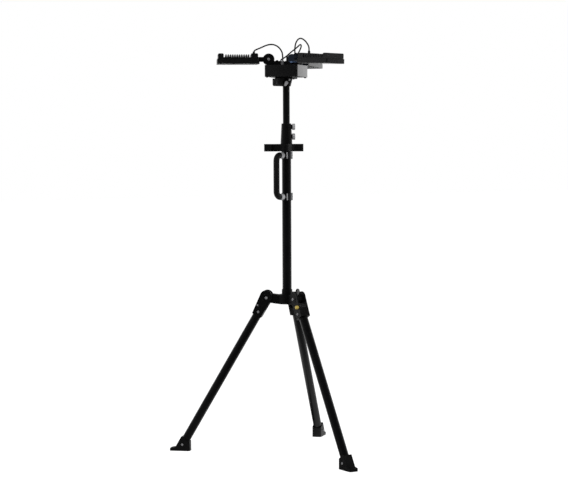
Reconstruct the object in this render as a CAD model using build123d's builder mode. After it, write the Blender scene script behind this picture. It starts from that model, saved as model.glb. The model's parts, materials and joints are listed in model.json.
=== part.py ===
"""Three-headed LED flood light on a folding tripod with a telescopic mast.

Millimetres, +Z up. The origin lies on the floor, on the mast's axis, and the front leg points along -Y.
Azimuths are degrees anticlockwise from +X, seen from above.
"""

import os
from math import cos, pi, radians, sin, tan

from build123d import *

os.makedirs("parts", exist_ok=True)

# Fits: radial room of a held piece and of a running one, and room between pieces that pass each other
snug = 0.02
running = 0.05
gap = 0.4

# Mast
outer_tube_diameter = 32.0
inner_tube_diameter = 24.0
tube_wall = 1.5
outer_tube_length = 589.0
inner_tube_length = 640.0
inner_tube_showing = 129.0
mast_plug_flange = 2.0
mast_plug_length = 14.0
inner_bush_length = 30.0

# Hub and leg hinges
hinge_radius = 71.0
hinge_height = 548.0
hub_below_hinge = 21.0
hub_height = 33.0
hub_core_radius = 34.0
boss_height = 18.0
boss_wall = 2.5
lug_radius = 16.0
lug_width = 26.0
hinge_pin_radius = 4.0
hinge_head_radius = 5.0
hinge_pad_radius = 14.5
hinge_pad_height = 1.2

# Legs
leg_lean = 30.2
leg_diameter = 30.0
rear_leg_spread = 49.0
leg_azimuths = {"front": -90.0, "left": 90.0 + rear_leg_spread, "right": 90.0 - rear_leg_spread}

# Leg brackets, along the leg from the hinge and out from its axis
cheek_thickness = 5.0
knuckle_radius = 21.0
knuckle_shift = 4.0
bracket_length = 72.0
bracket_heel = 18.0
bracket_mouth_wall = 2.0
slot_depth = 40.0
bracket_bolt_place = 57.0
leg_tube_setback = 2.0
bolt_radius = 2.5
bolt_head_radius = 4.2
bolt_head_height = 3.0
bolt_head_taper = 25.0

# Leg release plungers
plunger_along = 38.0
plunger_out = 14.0
plunger_pin_radius = 3.0
plunger_knob_radius = 6.5
plunger_knob_length = 9.0
plunger_knob_taper = 5.0

# Feet
foot_width = 34.0
foot_toe = 33.0
foot_plate_thickness = 9.0
foot_toe_rise = 4.0
foot_floor = 14.0
foot_boot_height = 51.0
foot_boot_wall = 2.7
foot_bolt_up = 10.0
foot_corner_radius = 7.0

# Leg clip collar, clamp sleeve and its thumb screws
collar_height = 26.0
collar_wall = 7.0
clip_arm_width = 24.0
clip_jaw = 8.0
clip_back = 6.5
clip_lip = 4.0
sleeve_height = 71.0
sleeve_seat = 33.0
sleeve_bottom_wall = 4.5
sleeve_top_wall = 3.0
guide_bush_wall = 2.0
thumb_boss_radius = 8.0
thumb_boss_reach = 20.4
thumb_shaft_radius = 3.0
thumb_knob_radius = 11.0
thumb_knob_length = 9.0
thumb_flutes = 10
thumb_flute_radius = 1.6
thumb_upper_below_top = 11.5
thumb_spacing = 34.0

# Carrying handle and its bands
handle_reach = 62.0
handle_span = 144.0
handle_grip_diameter = 21.0
handle_corner_radius = 20.0
band_height = 26.0
band_wall = 2.2
band_ear_reach = 12.0
band_ear_thickness = 3.0
band_slit = 4.0
band_screw_radius = 2.5
band_screw_head_radius = 4.5

# Head frame: clamp socket, its lever, driver box and what it holds
head_turn = 40.5
socket_depth = 26.0
socket_flange = 6.0
socket_flange_side = 64.0
socket_screw_ring = 28.0
socket_screw_turns = (115.0, 205.0, 295.0)
socket_bottom_wall = 3.5
socket_top_wall = 10.0
clamp_block_reach = 50.0
clamp_block_width = 30.0
clamp_block_height = 26.0
clamp_block_bolt_spacing = 16.0
clamp_block_bolt_drop = 14.0
clamp_block_screw_length = 10.0
clamp_block_lead = 150.0
clamp_block_corner = 7.0
eye_radius = 9.0
eye_drop = 4.6
eye_screw_length = 8.0
eye_thickness = 5.0
eye_reach = 27.0
eye_lead = 22.0
lever_boss_radius = 6.0
lever_boss_reach = 28.0
lever_lead = 50.0
lever_hub_radius = 6.0
lever_thickness = 6.0
lever_length = 9.0
lever_width = 7.0
lever_shaft_radius = 3.0
lever_down = 15.0
lever_slant = 28.0
box_side = 120.0
box_height = 40.0
box_wall = 3.0
box_corner_radius = 6.0
lid_thickness = 3.0
lid_post_radius = 4.0
lid_post_inset = 7.5
small_screw_radius = 2.0
small_screw_head_radius = 4.0
small_screw_head_height = 3.0
board_side = 88.0
board_thickness = 1.6
board_rise = 8.0
board_peg_radius = 3.0
board_peg_inset = 6.0
transformer_size = (38.0, 32.0, 14.0)
transformer_place = 18.0
capacitor_radius = 7.0
capacitor_height = 16.0
capacitor_place = 18.0
capacitor_spacing = 22.0
terminal_size = (34.0, 12.0, 10.0)
gland_ring = 32.0
gland_nut_radius = 6.5
gland_nut_height = 4.0
gland_radius = 5.0
gland_height = 14.0
gland_stem_radius = 4.0
gland_stem_length = 8.0
inlet_bore_radius = 4.0
inlet_nut_radius = 10.0
inlet_nut_length = 5.0
inlet_dome_radius = 8.0
inlet_length = 20.0
inlet_stem_radius = 6.5
inlet_stem_length = 12.0

# Tilt forks, arms and knobs
tilt_radius = 61.0
tilt_height = 21.0
fork_radius = 20.0
fork_cheek = 4.0
fork_base_start = 20.0
fork_base_length = 25.0
fork_base_height = 15.0
fork_base_width = 39.0
fork_screw_place = 12.0
tongue_radius = 15.5
tongue_width = 14.2
tongue_room = 0.3
tilt_bolt_radius = 3.0
tilt_bolt_head_radius = 4.8
tilt_bolt_stub = 16.0
neck_height = 16.5
arm_reach = 36.0
arm_flange_thickness = 4.0
arm_flange_width = 34.0
tilt_knob_radius = 15.0
tilt_knob_length = 24.0
tilt_knob_lobes = 6
tilt_knob_notch_radius = 4.5

# Lamp heads, each turned on the lid and tilted by hand
head_azimuths = {"right": 36.2, "left": 152.5, "front": 283.0}
lamp_tilts = {"right": -2.0, "left": 0.0, "front": -2.5}
lamp_length = 144.0
bezel_width = 88.0
bezel_height = 16.0
bezel_below_tilt = 16.0
bezel_corner_radius = 5.0
bezel_rim = 9.0
glass_lap = 4.0
glass_thickness = 3.0
glass_room = 0.3
sink_width = 82.0
sink_setback = 2.0
sink_end_setback = 3.5
sink_base = 3.0
sink_block_height = 16.0
sink_block_round = 4.5
sink_inner_block = 25.0
sink_outer_block = 20.0
fin_height = 12.0
fin_thickness = 2.0
fin_pitch = 8.0
low_fin_height = 4.0
low_fin_count = 4
led_board_thickness = 2.0
led_side = 6.0
led_height = 1.6
led_columns = 7
led_rows = 4
led_pitch = 15.0
cable_entry = 15.0
cable_boss_radius = 4.5
cable_boss_height = 3.0
cable_diameter = 5.0

# Lamp cables: how high each one leaves its gland and meets its lamp upright, up from the lid,
# and the points chosen between, along from the gland to the lamp and up from the lid
cable_rise = {"left": 30.0, "front": 36.0, "right": 21.0}
cable_drop = {"left": 50.0, "front": 50.0, "right": 47.0}
cable_routes = {
    "left": [(3, 48), (17, 65), (36, 72.5), (57, 70), (76, 61.5), (94, 55)],
    "front": [(-3, 56), (3, 76), (17.5, 88.5), (37, 93), (61, 87), (83, 74.5), (98, 60)],
    "right": [
        *[(10, 25), (26, 31.5), (42, 40.5), (59, 51), (81, 62), (99, 72.5)],
        *[(107.5, 78), (114.5, 79.8), (117.5, 74), (111.5, 63), (103.5, 53)],
    ],
}

# Radii and heights that follow from the sizes above
outer_radius = outer_tube_diameter / 2
outer_bore = outer_radius - tube_wall
inner_radius = inner_tube_diameter / 2
leg_radius = leg_diameter / 2
hub_bottom = hinge_height - hub_below_hinge
hub_top = hub_bottom + hub_height
outer_tube_bottom = hub_bottom + mast_plug_flange
outer_tube_top = outer_tube_bottom + outer_tube_length
sleeve_bottom = outer_tube_top - sleeve_seat
sleeve_top = sleeve_bottom + sleeve_height
collar_bottom = sleeve_bottom - collar_height
handle_top = collar_bottom - gap - band_height / 2
handle_bottom = handle_top - handle_span
socket_bottom = sleeve_top + inner_tube_showing
socket_ceiling = socket_bottom + socket_depth
box_bottom = socket_ceiling + socket_flange
lid_top = box_bottom + box_height
lid_bottom = lid_top - lid_thickness
inner_tube_top = socket_ceiling - gap
inner_tube_bottom = inner_tube_top - inner_tube_length
bracket_width = lug_width + 2 * gap + 2 * cheek_thickness
slot_width = lug_width + 2 * gap
leg_top = slot_depth + leg_tube_setback
leg_end = (hinge_height - foot_floor) / cos(radians(leg_lean))
foot_radius = hinge_radius + hinge_height * tan(radians(leg_lean))
handle_azimuth = (leg_azimuths["left"] + leg_azimuths["front"] + 360.0) / 2
thumb_azimuth = (leg_azimuths["right"] + leg_azimuths["front"]) / 2
band_radius = outer_radius + snug + band_wall
guide_bush_radius = inner_radius + running + guide_bush_wall
gland_azimuths = {
    "right": (head_azimuths["right"] + head_azimuths["left"]) / 2,
    "left": (head_azimuths["left"] + head_azimuths["front"]) / 2,
    "front": (head_azimuths["front"] + head_azimuths["right"] + 360.0) / 2,
}
clamp_block_azimuth = head_turn + clamp_block_lead
socket_screw_azimuths = [clamp_block_azimuth + turn for turn in socket_screw_turns]
lever_azimuth = clamp_block_azimuth + lever_lead
eye_azimuth = lever_azimuth + eye_lead
inlet_azimuth = head_turn
tilt_level = lid_top + tilt_height
fork_inside = tongue_width / 2 + tongue_room
fork_outside = fork_inside + fork_cheek
window_length = lamp_length - 2 * bezel_rim
window_width = bezel_width - 2 * bezel_rim

# Places on a lamp, along it and up from its tilt axis
lamp_end = arm_reach + lamp_length
lamp_middle = (arm_reach + lamp_end) / 2
bezel_top = bezel_height - bezel_below_tilt
sink_start = arm_reach + sink_setback
sink_end = lamp_end - sink_end_setback
sink_floor = bezel_top + sink_base
sink_block_top = sink_floor + sink_block_height


def heading(azimuth):
    """Level unit vector that points along an azimuth."""
    return Vector(cos(radians(azimuth)), sin(radians(azimuth)), 0)


def upright(azimuth, radius=0.0, height=0.0):
    """Upright plane through the mast: x outward, y up, z clockwise around the mast."""
    outward = heading(azimuth)
    return Plane(outward * radius + Vector(0, 0, height), x_dir=outward, z_dir=heading(azimuth - 90))


def level(azimuth, height):
    """Level plane at a height: x outward along the azimuth, z up."""
    return Plane(Vector(0, 0, height), x_dir=heading(azimuth), z_dir=Vector(0, 0, 1))


def facing(azimuth, radius, height):
    """Upright plane that faces outward along an azimuth: x level, z outward."""
    return Plane(
        heading(azimuth) * radius + Vector(0, 0, height),
        x_dir=heading(azimuth + 90),
        z_dir=heading(azimuth),
    )


def leg_plane(azimuth):
    """Plane of one leg, at its hinge: x down the leg, y to its outer side, z clockwise around the mast."""
    lean = radians(leg_lean)
    down = heading(azimuth) * sin(lean) - Vector(0, 0, cos(lean))
    return Plane(upright(azimuth, hinge_radius, hinge_height).origin, x_dir=down, z_dir=heading(azimuth - 90))


def lamp_side(side):
    """Upright plane of one lamp, at its tilt axis: x along the lamp, y up, z clockwise round the mast."""
    tilt = radians(lamp_tilts[side])
    azimuth = head_azimuths[side]
    along = heading(azimuth) * cos(tilt) + Vector(0, 0, sin(tilt))
    return Plane(upright(azimuth, tilt_radius, tilt_level).origin, x_dir=along, z_dir=heading(azimuth - 90))


def lamp_deck(side, up):
    """Plane along one lamp's top, at a height over its tilt axis: x along the lamp, z up from it."""
    lamp = lamp_side(side)
    return Plane(lamp.from_local_coords((0, up, 0)), x_dir=lamp.x_dir, z_dir=lamp.y_dir)


def cable_foot(side):
    """Point on top of one lamp's inner block where the cable's boss stands."""
    return lamp_side(side).from_local_coords((arm_reach + cable_entry, sink_block_top, 0))


def moved(plane, along, out=0.0):
    """The same plane with its origin moved along its own x and y."""
    return Plane(plane.from_local_coords((along, out, 0)), x_dir=plane.x_dir, z_dir=plane.z_dir)


def across(plane, along):
    """Plane square to another one's x, at a distance along it."""
    return Plane(plane.from_local_coords((along, 0, 0)), x_dir=plane.z_dir, z_dir=plane.x_dir)


def turned_over(plane):
    """The same plane seen from behind."""
    return Plane(plane.origin, x_dir=plane.x_dir, z_dir=-plane.z_dir)


def swung(plane, angle):
    """The same plane turned about its own z by an angle in degrees."""
    turn = radians(angle)
    return Plane(
        plane.origin, x_dir=plane.x_dir * cos(turn) + plane.y_dir * sin(turn), z_dir=plane.z_dir
    )


def add_disc(plane, radius, height, taper=0.0, mode=Mode.ADD):
    """Adds a round stub to the open part, or cuts one from it, from a plane towards its z."""
    with BuildSketch(plane) as disc:
        Circle(radius)
    extrude(disc.sketch, amount=height, taper=taper, mode=mode)


def add_bore(plane, radius, half_length):
    """Cuts a round hole through the open part, to both sides of a plane."""
    with BuildSketch(plane) as bore:
        Circle(radius)
    extrude(bore.sketch, amount=half_length, both=True, mode=Mode.SUBTRACT)


def add_bolt(plane, half_grip, shaft, head):
    """Adds a bolt with a domed head at each end, its middle on a plane."""
    add_disc(plane.offset(-half_grip), shaft, 2 * half_grip)
    add_disc(plane.offset(half_grip), head, bolt_head_height, bolt_head_taper)
    add_disc(turned_over(plane.offset(-half_grip)), head, bolt_head_height, bolt_head_taper)


def add_screw(plane, length):
    """Adds a small screw: its head rises from a plane, its shank goes below."""
    add_disc(plane, small_screw_head_radius, small_screw_head_height, bolt_head_taper)
    add_disc(turned_over(plane), small_screw_radius, length)


def add_tube(plane, outside, inside, length):
    """Adds a round tube that starts on a plane."""
    with BuildSketch(plane) as ring:
        Circle(outside)
        Circle(inside, mode=Mode.SUBTRACT)
    extrude(ring.sketch, amount=length)


# Hub: a core round the mast with one lug for each leg
with BuildPart() as hub:
    add_disc(Plane.XY.offset(hub_bottom), hub_core_radius, hub_height)
    add_disc(Plane.XY.offset(hub_top), outer_radius + boss_wall, boss_height)
    for azimuth in leg_azimuths.values():
        with BuildSketch(upright(azimuth, 0, hinge_height)):
            Polygon(
                (0, -hub_below_hinge),
                (hub_core_radius, -hub_below_hinge),
                (hinge_radius, -lug_radius),
                (hinge_radius, lug_radius),
                (hub_core_radius, hub_top - hinge_height),
                (0, hub_top - hinge_height),
                align=None,
            )
            with Locations((hinge_radius, 0)):
                Circle(lug_radius)
        extrude(amount=lug_width / 2, both=True)
    add_bore(Plane.XY.offset(hub_bottom), outer_radius + snug, hub_height + boss_height)
    for azimuth in leg_azimuths.values():
        add_bore(upright(azimuth, hinge_radius, hinge_height), hinge_pin_radius + snug, lug_width)
hub.part.label = "hub"
export_step(hub.part, "parts/hub.step")

with BuildPart() as hinge_bolts:
    for azimuth in leg_azimuths.values():
        hinge = upright(azimuth, hinge_radius, hinge_height)
        add_bolt(hinge, bracket_width / 2 + hinge_pad_height + gap, hinge_pin_radius, hinge_head_radius)
hinge_bolts.part.label = "hinge_bolts"
export_step(hinge_bolts.part, "parts/hinge_bolts.step")

# Mast: outer tube, its plug, inner tube and the bush on its foot
with BuildPart() as mast_outer_tube:
    add_tube(Plane.XY.offset(outer_tube_bottom), outer_radius, outer_bore, outer_tube_length)
mast_outer_tube.part.label = "mast_outer_tube"
export_step(mast_outer_tube.part, "parts/mast_outer_tube.step")

with BuildPart() as mast_plug:
    add_disc(Plane.XY.offset(hub_bottom), outer_radius, mast_plug_flange)
    add_disc(Plane.XY.offset(outer_tube_bottom), outer_bore - snug, mast_plug_length)
mast_plug.part.label = "mast_plug"
export_step(mast_plug.part, "parts/mast_plug.step")

with BuildPart() as mast_inner_tube:
    add_tube(Plane.XY.offset(inner_tube_bottom), inner_radius, inner_radius - tube_wall, inner_tube_length)
mast_inner_tube.part.label = "mast_inner_tube"
export_step(mast_inner_tube.part, "parts/mast_inner_tube.step")

with BuildPart() as inner_tube_bush:
    add_tube(
        Plane.XY.offset(inner_tube_bottom), outer_bore - running, inner_radius + snug, inner_bush_length
    )
inner_tube_bush.part.label = "inner_tube_bush"
export_step(inner_tube_bush.part, "parts/inner_tube_bush.step")

# Collar: a ring on the mast with a U-shaped clip for each leg when it is folded up
clip_bore = leg_radius + gap
clip_width = 2 * (clip_bore + clip_jaw)
clip_start = hinge_radius - clip_bore - clip_back
clip_end = hinge_radius + clip_lip
with BuildPart() as leg_clip_collar:
    with BuildSketch(Plane.XY.offset(collar_bottom)):
        Circle(outer_radius + collar_wall)
    extrude(amount=collar_height)
    for azimuth in leg_azimuths.values():
        with BuildSketch(level(azimuth, collar_bottom)):
            Rectangle(clip_start + clip_back, clip_arm_width, align=(Align.MIN, Align.CENTER))
            with Locations((clip_start, 0)):
                Rectangle(clip_end - clip_start, clip_width, align=(Align.MIN, Align.CENTER))
            with Locations((hinge_radius, 0)):
                Circle(clip_bore, mode=Mode.SUBTRACT)
                Rectangle(
                    clip_width, 2 * clip_bore, align=(Align.MIN, Align.CENTER), mode=Mode.SUBTRACT
                )
        extrude(amount=collar_height)
    add_bore(Plane.XY.offset(collar_bottom), outer_radius + snug, 2 * collar_height)
leg_clip_collar.part.label = "leg_clip_collar"
export_step(leg_clip_collar.part, "parts/leg_clip_collar.step")

# Clamp sleeve on the outer tube's top, its guide bush and its two thumb screws
thumb_upper = sleeve_top - thumb_upper_below_top
thumb_lower = thumb_upper - thumb_spacing
thumb_levels = {"upper": thumb_upper, "lower": thumb_lower}
thumb_tips = {"upper": inner_radius + gap, "lower": outer_radius + snug}
with BuildPart() as clamp_sleeve:
    with BuildSketch(Plane.XZ):
        Polygon(
            (0, sleeve_bottom),
            (outer_radius + snug + sleeve_bottom_wall, sleeve_bottom),
            (guide_bush_radius + snug + sleeve_top_wall, sleeve_top),
            (0, sleeve_top),
            align=None,
        )
    revolve(axis=Axis.Z)
    for height in thumb_levels.values():
        boss = facing(thumb_azimuth, inner_radius, height)
        add_disc(boss, thumb_boss_radius, thumb_boss_reach - inner_radius)
    add_bore(Plane.XY.offset(sleeve_bottom), outer_radius + snug, sleeve_seat)
    add_bore(Plane.XY.offset(sleeve_top), guide_bush_radius + snug, sleeve_height - sleeve_seat)
    for height in thumb_levels.values():
        add_disc(
            facing(thumb_azimuth, 0, height),
            thumb_shaft_radius + running,
            2 * thumb_boss_reach,
            mode=Mode.SUBTRACT,
        )
clamp_sleeve.part.label = "clamp_sleeve"
export_step(clamp_sleeve.part, "parts/clamp_sleeve.step")

with BuildPart() as mast_guide_bush:
    add_tube(
        Plane.XY.offset(outer_tube_top),
        guide_bush_radius,
        inner_radius + running,
        sleeve_top - outer_tube_top,
    )
    add_disc(
        facing(thumb_azimuth, 0, thumb_upper),
        thumb_shaft_radius + running,
        2 * guide_bush_radius,
        mode=Mode.SUBTRACT,
    )
mast_guide_bush.part.label = "mast_guide_bush"
export_step(mast_guide_bush.part, "parts/mast_guide_bush.step")

for name, height in thumb_levels.items():
    knob_start = thumb_boss_reach + gap
    with BuildPart() as thumb_screw:
        add_disc(
            facing(thumb_azimuth, thumb_tips[name], height),
            thumb_shaft_radius,
            knob_start - thumb_tips[name],
        )
        with BuildSketch(facing(thumb_azimuth, knob_start, height)):
            Circle(thumb_knob_radius)
            with PolarLocations(thumb_knob_radius, thumb_flutes):
                Circle(thumb_flute_radius, mode=Mode.SUBTRACT)
        extrude(amount=thumb_knob_length)
    thumb_screw.part.label = f"thumb_screw_{name}"
    export_step(thumb_screw.part, f"parts/thumb_screw_{name}.step")

# Carrying handle, with the two bands that hold it and their screws
with BuildPart() as carry_handle:
    with BuildLine(upright(handle_azimuth)) as grip_path:
        FilletPolyline(
            (outer_radius, handle_top),
            (handle_reach, handle_top),
            (handle_reach, handle_bottom),
            (outer_radius, handle_bottom),
            radius=handle_corner_radius,
        )
    with BuildSketch(Plane(grip_path.line @ 0, z_dir=grip_path.line % 0)):
        Circle(handle_grip_diameter / 2)
    sweep(path=grip_path.line)
    add_bore(Plane.XY.offset(handle_bottom), band_radius + snug, 2 * handle_span)
carry_handle.part.label = "carry_handle"
export_step(carry_handle.part, "parts/carry_handle.step")

ear_azimuth = handle_azimuth - 180.0
ear_width = band_slit + 2 * band_ear_thickness
ear_middle = band_radius + band_ear_reach / 2
band_levels = (handle_top, handle_bottom)
with BuildPart() as handle_bands:
    for height in band_levels:
        with BuildSketch(level(ear_azimuth, height - band_height / 2)):
            Circle(band_radius)
            Rectangle(band_radius + band_ear_reach, ear_width, align=(Align.MIN, Align.CENTER))
            Circle(outer_radius + snug, mode=Mode.SUBTRACT)
            Rectangle(
                2 * band_radius + band_ear_reach,
                band_slit,
                align=(Align.MIN, Align.CENTER),
                mode=Mode.SUBTRACT,
            )
        extrude(amount=band_height)
        add_bore(upright(ear_azimuth, ear_middle, height), band_screw_radius + snug, ear_width)
handle_bands.part.label = "handle_bands"
export_step(handle_bands.part, "parts/handle_bands.step")

with BuildPart() as band_screws:
    for height in band_levels:
        add_bolt(
            upright(ear_azimuth, ear_middle, height), ear_width / 2, band_screw_radius, band_screw_head_radius
        )
band_screws.part.label = "band_screws"
export_step(band_screws.part, "parts/band_screws.step")

# Legs: bracket, tube, foot, bolts and release plunger
boot_radius = leg_radius + foot_boot_wall
foot_bolt_place = leg_end - foot_bolt_up


def boot_face(height):
    """How far out from the leg's floor point the boot's outer face stands at a height."""
    return boot_radius / cos(radians(leg_lean)) - height * tan(radians(leg_lean))


boot_back = boot_face(foot_boot_height) - 2 * boot_radius * cos(radians(leg_lean))
boot_back_height = foot_boot_height - 2 * boot_radius * sin(radians(leg_lean))
plunger_half_grip = bracket_width / 2

for side, azimuth in leg_azimuths.items():
    leg = leg_plane(azimuth)
    with BuildPart() as leg_bracket:
        with BuildSketch(leg):
            Polygon(
                (-knuckle_shift, knuckle_shift + knuckle_radius),
                (bracket_length, leg_radius + bracket_mouth_wall),
                (bracket_length, -leg_radius - bracket_mouth_wall),
                (0, -bracket_heel),
                (-knuckle_shift, knuckle_shift - knuckle_radius),
                align=None,
            )
            with Locations((-knuckle_shift, knuckle_shift)):
                Circle(knuckle_radius)
        extrude(amount=bracket_width / 2, both=True)
        add_disc(leg, hinge_pad_radius, bracket_width / 2 + hinge_pad_height)
        add_disc(turned_over(leg), hinge_pad_radius, bracket_width / 2 + hinge_pad_height)
        with BuildSketch(leg):
            with Locations((slot_depth, 0)):
                Rectangle(
                    slot_depth + 2 * knuckle_radius, 4 * knuckle_radius, align=(Align.MAX, Align.CENTER)
                )
        extrude(amount=slot_width / 2, both=True, mode=Mode.SUBTRACT)
        add_disc(across(leg, slot_depth), leg_radius + snug, bracket_length, mode=Mode.SUBTRACT)
        add_bore(leg, hinge_pin_radius + running, bracket_width)
        add_bore(moved(leg, bracket_bolt_place), bolt_radius + snug, bracket_width)
        add_bore(moved(leg, plunger_along, plunger_out), plunger_pin_radius + running, bracket_width)
    leg_bracket.part.label = f"leg_bracket_{side}"
    export_step(leg_bracket.part, f"parts/leg_bracket_{side}.step")

    with BuildPart() as leg_tube:
        add_tube(across(leg, leg_top), leg_radius, leg_radius - tube_wall, leg_end - leg_top)
        for place in (bracket_bolt_place, foot_bolt_place):
            add_bore(moved(leg, place), bolt_radius + snug, leg_diameter)
    leg_tube.part.label = f"leg_tube_{side}"
    export_step(leg_tube.part, f"parts/leg_tube_{side}.step")

    with BuildPart() as foot:
        with BuildSketch(upright(azimuth, foot_radius)):
            Polygon(
                (boot_back, 0),
                (foot_toe, 0),
                (foot_toe, foot_plate_thickness),
                (boot_face(foot_plate_thickness + foot_toe_rise), foot_plate_thickness + foot_toe_rise),
                (boot_face(foot_boot_height), foot_boot_height),
                (boot_back, boot_back_height),
                align=None,
            )
        extrude(amount=foot_width / 2, both=True)
        fillet(foot.edges().filter_by(Axis.Z), foot_corner_radius)
        add_disc(turned_over(across(leg, leg_end)), leg_radius + snug, leg_end, mode=Mode.SUBTRACT)
        add_bore(moved(leg, foot_bolt_place), bolt_radius + snug, foot_width)
    foot.part.label = f"foot_{side}"
    export_step(foot.part, f"parts/foot_{side}.step")

    with BuildPart() as leg_bolts:
        add_bolt(moved(leg, bracket_bolt_place), bracket_width / 2, bolt_radius, bolt_head_radius)
        add_bolt(moved(leg, foot_bolt_place), foot_width / 2, bolt_radius, bolt_head_radius)
    leg_bolts.part.label = f"leg_bolts_{side}"
    export_step(leg_bolts.part, f"parts/leg_bolts_{side}.step")

    with BuildPart() as release_plunger:
        pin = moved(leg, plunger_along, plunger_out)
        add_disc(pin.offset(-plunger_half_grip), plunger_pin_radius, 2 * plunger_half_grip + gap)
        knob = pin.offset(plunger_half_grip + gap)
        add_disc(knob, plunger_knob_radius, plunger_knob_length, plunger_knob_taper)
    release_plunger.part.label = f"release_plunger_{side}"
    export_step(release_plunger.part, f"parts/release_plunger_{side}.step")

# Clamp socket under the box: a cone round the inner tube, a clamp block, a screwed eye and the lever's boss
socket_bore = inner_radius + running
lever_level = socket_ceiling - lever_down
eye_level = socket_ceiling - eye_drop
with BuildPart() as head_socket:
    with BuildSketch(Plane.XZ):
        Polygon(
            (0, socket_bottom),
            (socket_bore + socket_bottom_wall, socket_bottom),
            (socket_bore + socket_top_wall, socket_ceiling),
            (0, socket_ceiling),
            align=None,
        )
    revolve(axis=Axis.Z)
    with BuildSketch(level(head_turn, socket_ceiling)):
        RectangleRounded(socket_flange_side, socket_flange_side, box_corner_radius)
    extrude(amount=socket_flange)
    with BuildSketch(facing(clamp_block_azimuth, 0, socket_ceiling)) as block:
        Rectangle(clamp_block_width, clamp_block_height, align=(Align.CENTER, Align.MAX))
        fillet(block.vertices().group_by(Axis.Y)[0], clamp_block_corner)
    extrude(amount=clamp_block_reach)
    add_disc(facing(eye_azimuth, eye_reach - eye_thickness, eye_level), eye_radius, eye_thickness)
    boss = facing(lever_azimuth, inner_radius, lever_level)
    add_disc(boss, lever_boss_radius, lever_boss_reach - inner_radius)
    add_disc(Plane.XY.offset(socket_bottom), socket_bore, socket_depth, mode=Mode.SUBTRACT)
    add_bore(facing(eye_azimuth, eye_reach, eye_level), small_screw_radius + snug, eye_screw_length + gap)
    add_disc(
        facing(lever_azimuth, 0, lever_level),
        lever_shaft_radius + running,
        2 * lever_boss_reach,
        mode=Mode.SUBTRACT,
    )
    for sideways in (-clamp_block_bolt_spacing / 2, clamp_block_bolt_spacing / 2):
        place = moved(
            facing(clamp_block_azimuth, clamp_block_reach, socket_ceiling),
            sideways,
            -clamp_block_bolt_drop,
        )
        add_bore(place, small_screw_radius + snug, clamp_block_screw_length + gap)
    for azimuth in socket_screw_azimuths:
        place = moved(level(azimuth, socket_ceiling), socket_screw_ring)
        add_bore(place, small_screw_radius + snug, socket_flange)
head_socket.part.label = "head_socket"
export_step(head_socket.part, "parts/head_socket.step")

with BuildPart() as socket_lever:
    lever_start = lever_boss_reach + gap
    add_disc(
        facing(lever_azimuth, inner_radius + gap, lever_level),
        lever_shaft_radius,
        lever_start - inner_radius - gap,
    )
    with BuildSketch(swung(facing(lever_azimuth, lever_start, lever_level), -lever_slant)):
        Circle(lever_hub_radius)
        Polygon(
            (-lever_hub_radius, 0),
            (lever_hub_radius, 0),
            (lever_width / 2, -lever_length),
            (-lever_width / 2, -lever_length),
            align=None,
        )
        with Locations((0, -lever_length)):
            Circle(lever_width / 2)
    extrude(amount=lever_thickness)
socket_lever.part.label = "socket_lever"
export_step(socket_lever.part, "parts/socket_lever.step")

# Driver box, its lid with four screw posts, its board and its glands
post_place = box_side / 2 - lid_post_inset
box_inside = box_side - 2 * box_wall
with BuildPart() as driver_box:
    with BuildSketch(level(head_turn, box_bottom)):
        RectangleRounded(box_side, box_side, box_corner_radius)
    extrude(amount=box_height - lid_thickness)
    with BuildSketch(level(head_turn, box_bottom + box_wall)):
        RectangleRounded(box_inside, box_inside, box_corner_radius - box_wall)
    extrude(amount=box_height, mode=Mode.SUBTRACT)
    with BuildSketch(level(head_turn, box_bottom)):
        with GridLocations(2 * post_place, 2 * post_place, 2, 2):
            Circle(small_screw_radius + snug)
    extrude(amount=box_wall, mode=Mode.SUBTRACT)
    for azimuth in socket_screw_azimuths:
        place = moved(level(azimuth, box_bottom), socket_screw_ring)
        add_bore(place, small_screw_radius + snug, box_wall)
    add_bore(
        facing(inlet_azimuth, box_side / 2, box_bottom + box_height / 2),
        inlet_stem_radius + snug,
        inlet_stem_length,
    )
driver_box.part.label = "driver_box"
export_step(driver_box.part, "parts/driver_box.step")

fork_screw_sides = (fork_outside + fork_base_width / 2) / 2
with BuildPart() as box_lid:
    with BuildSketch(level(head_turn, lid_bottom)):
        RectangleRounded(box_side, box_side, box_corner_radius)
    extrude(amount=lid_thickness)
    with BuildSketch(level(head_turn, box_bottom + box_wall)):
        with GridLocations(2 * post_place, 2 * post_place, 2, 2):
            Circle(lid_post_radius)
    extrude(amount=lid_bottom - box_bottom - box_wall)
    with BuildSketch(level(head_turn, box_bottom)):
        with GridLocations(2 * post_place, 2 * post_place, 2, 2):
            Circle(small_screw_radius + snug)
    extrude(amount=box_height - lid_thickness, mode=Mode.SUBTRACT)
    for side, azimuth in head_azimuths.items():
        with BuildSketch(level(azimuth, lid_bottom)):
            with Locations((fork_base_start + fork_screw_place, 0)):
                with GridLocations(0, 2 * fork_screw_sides, 1, 2):
                    Circle(small_screw_radius + snug)
        extrude(amount=lid_thickness, mode=Mode.SUBTRACT)
        with BuildSketch(level(gland_azimuths[side], lid_bottom)):
            with Locations((gland_ring, 0)):
                Circle(gland_stem_radius + snug)
        extrude(amount=lid_thickness, mode=Mode.SUBTRACT)
box_lid.part.label = "box_lid"
export_step(box_lid.part, "parts/box_lid.step")

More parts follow.
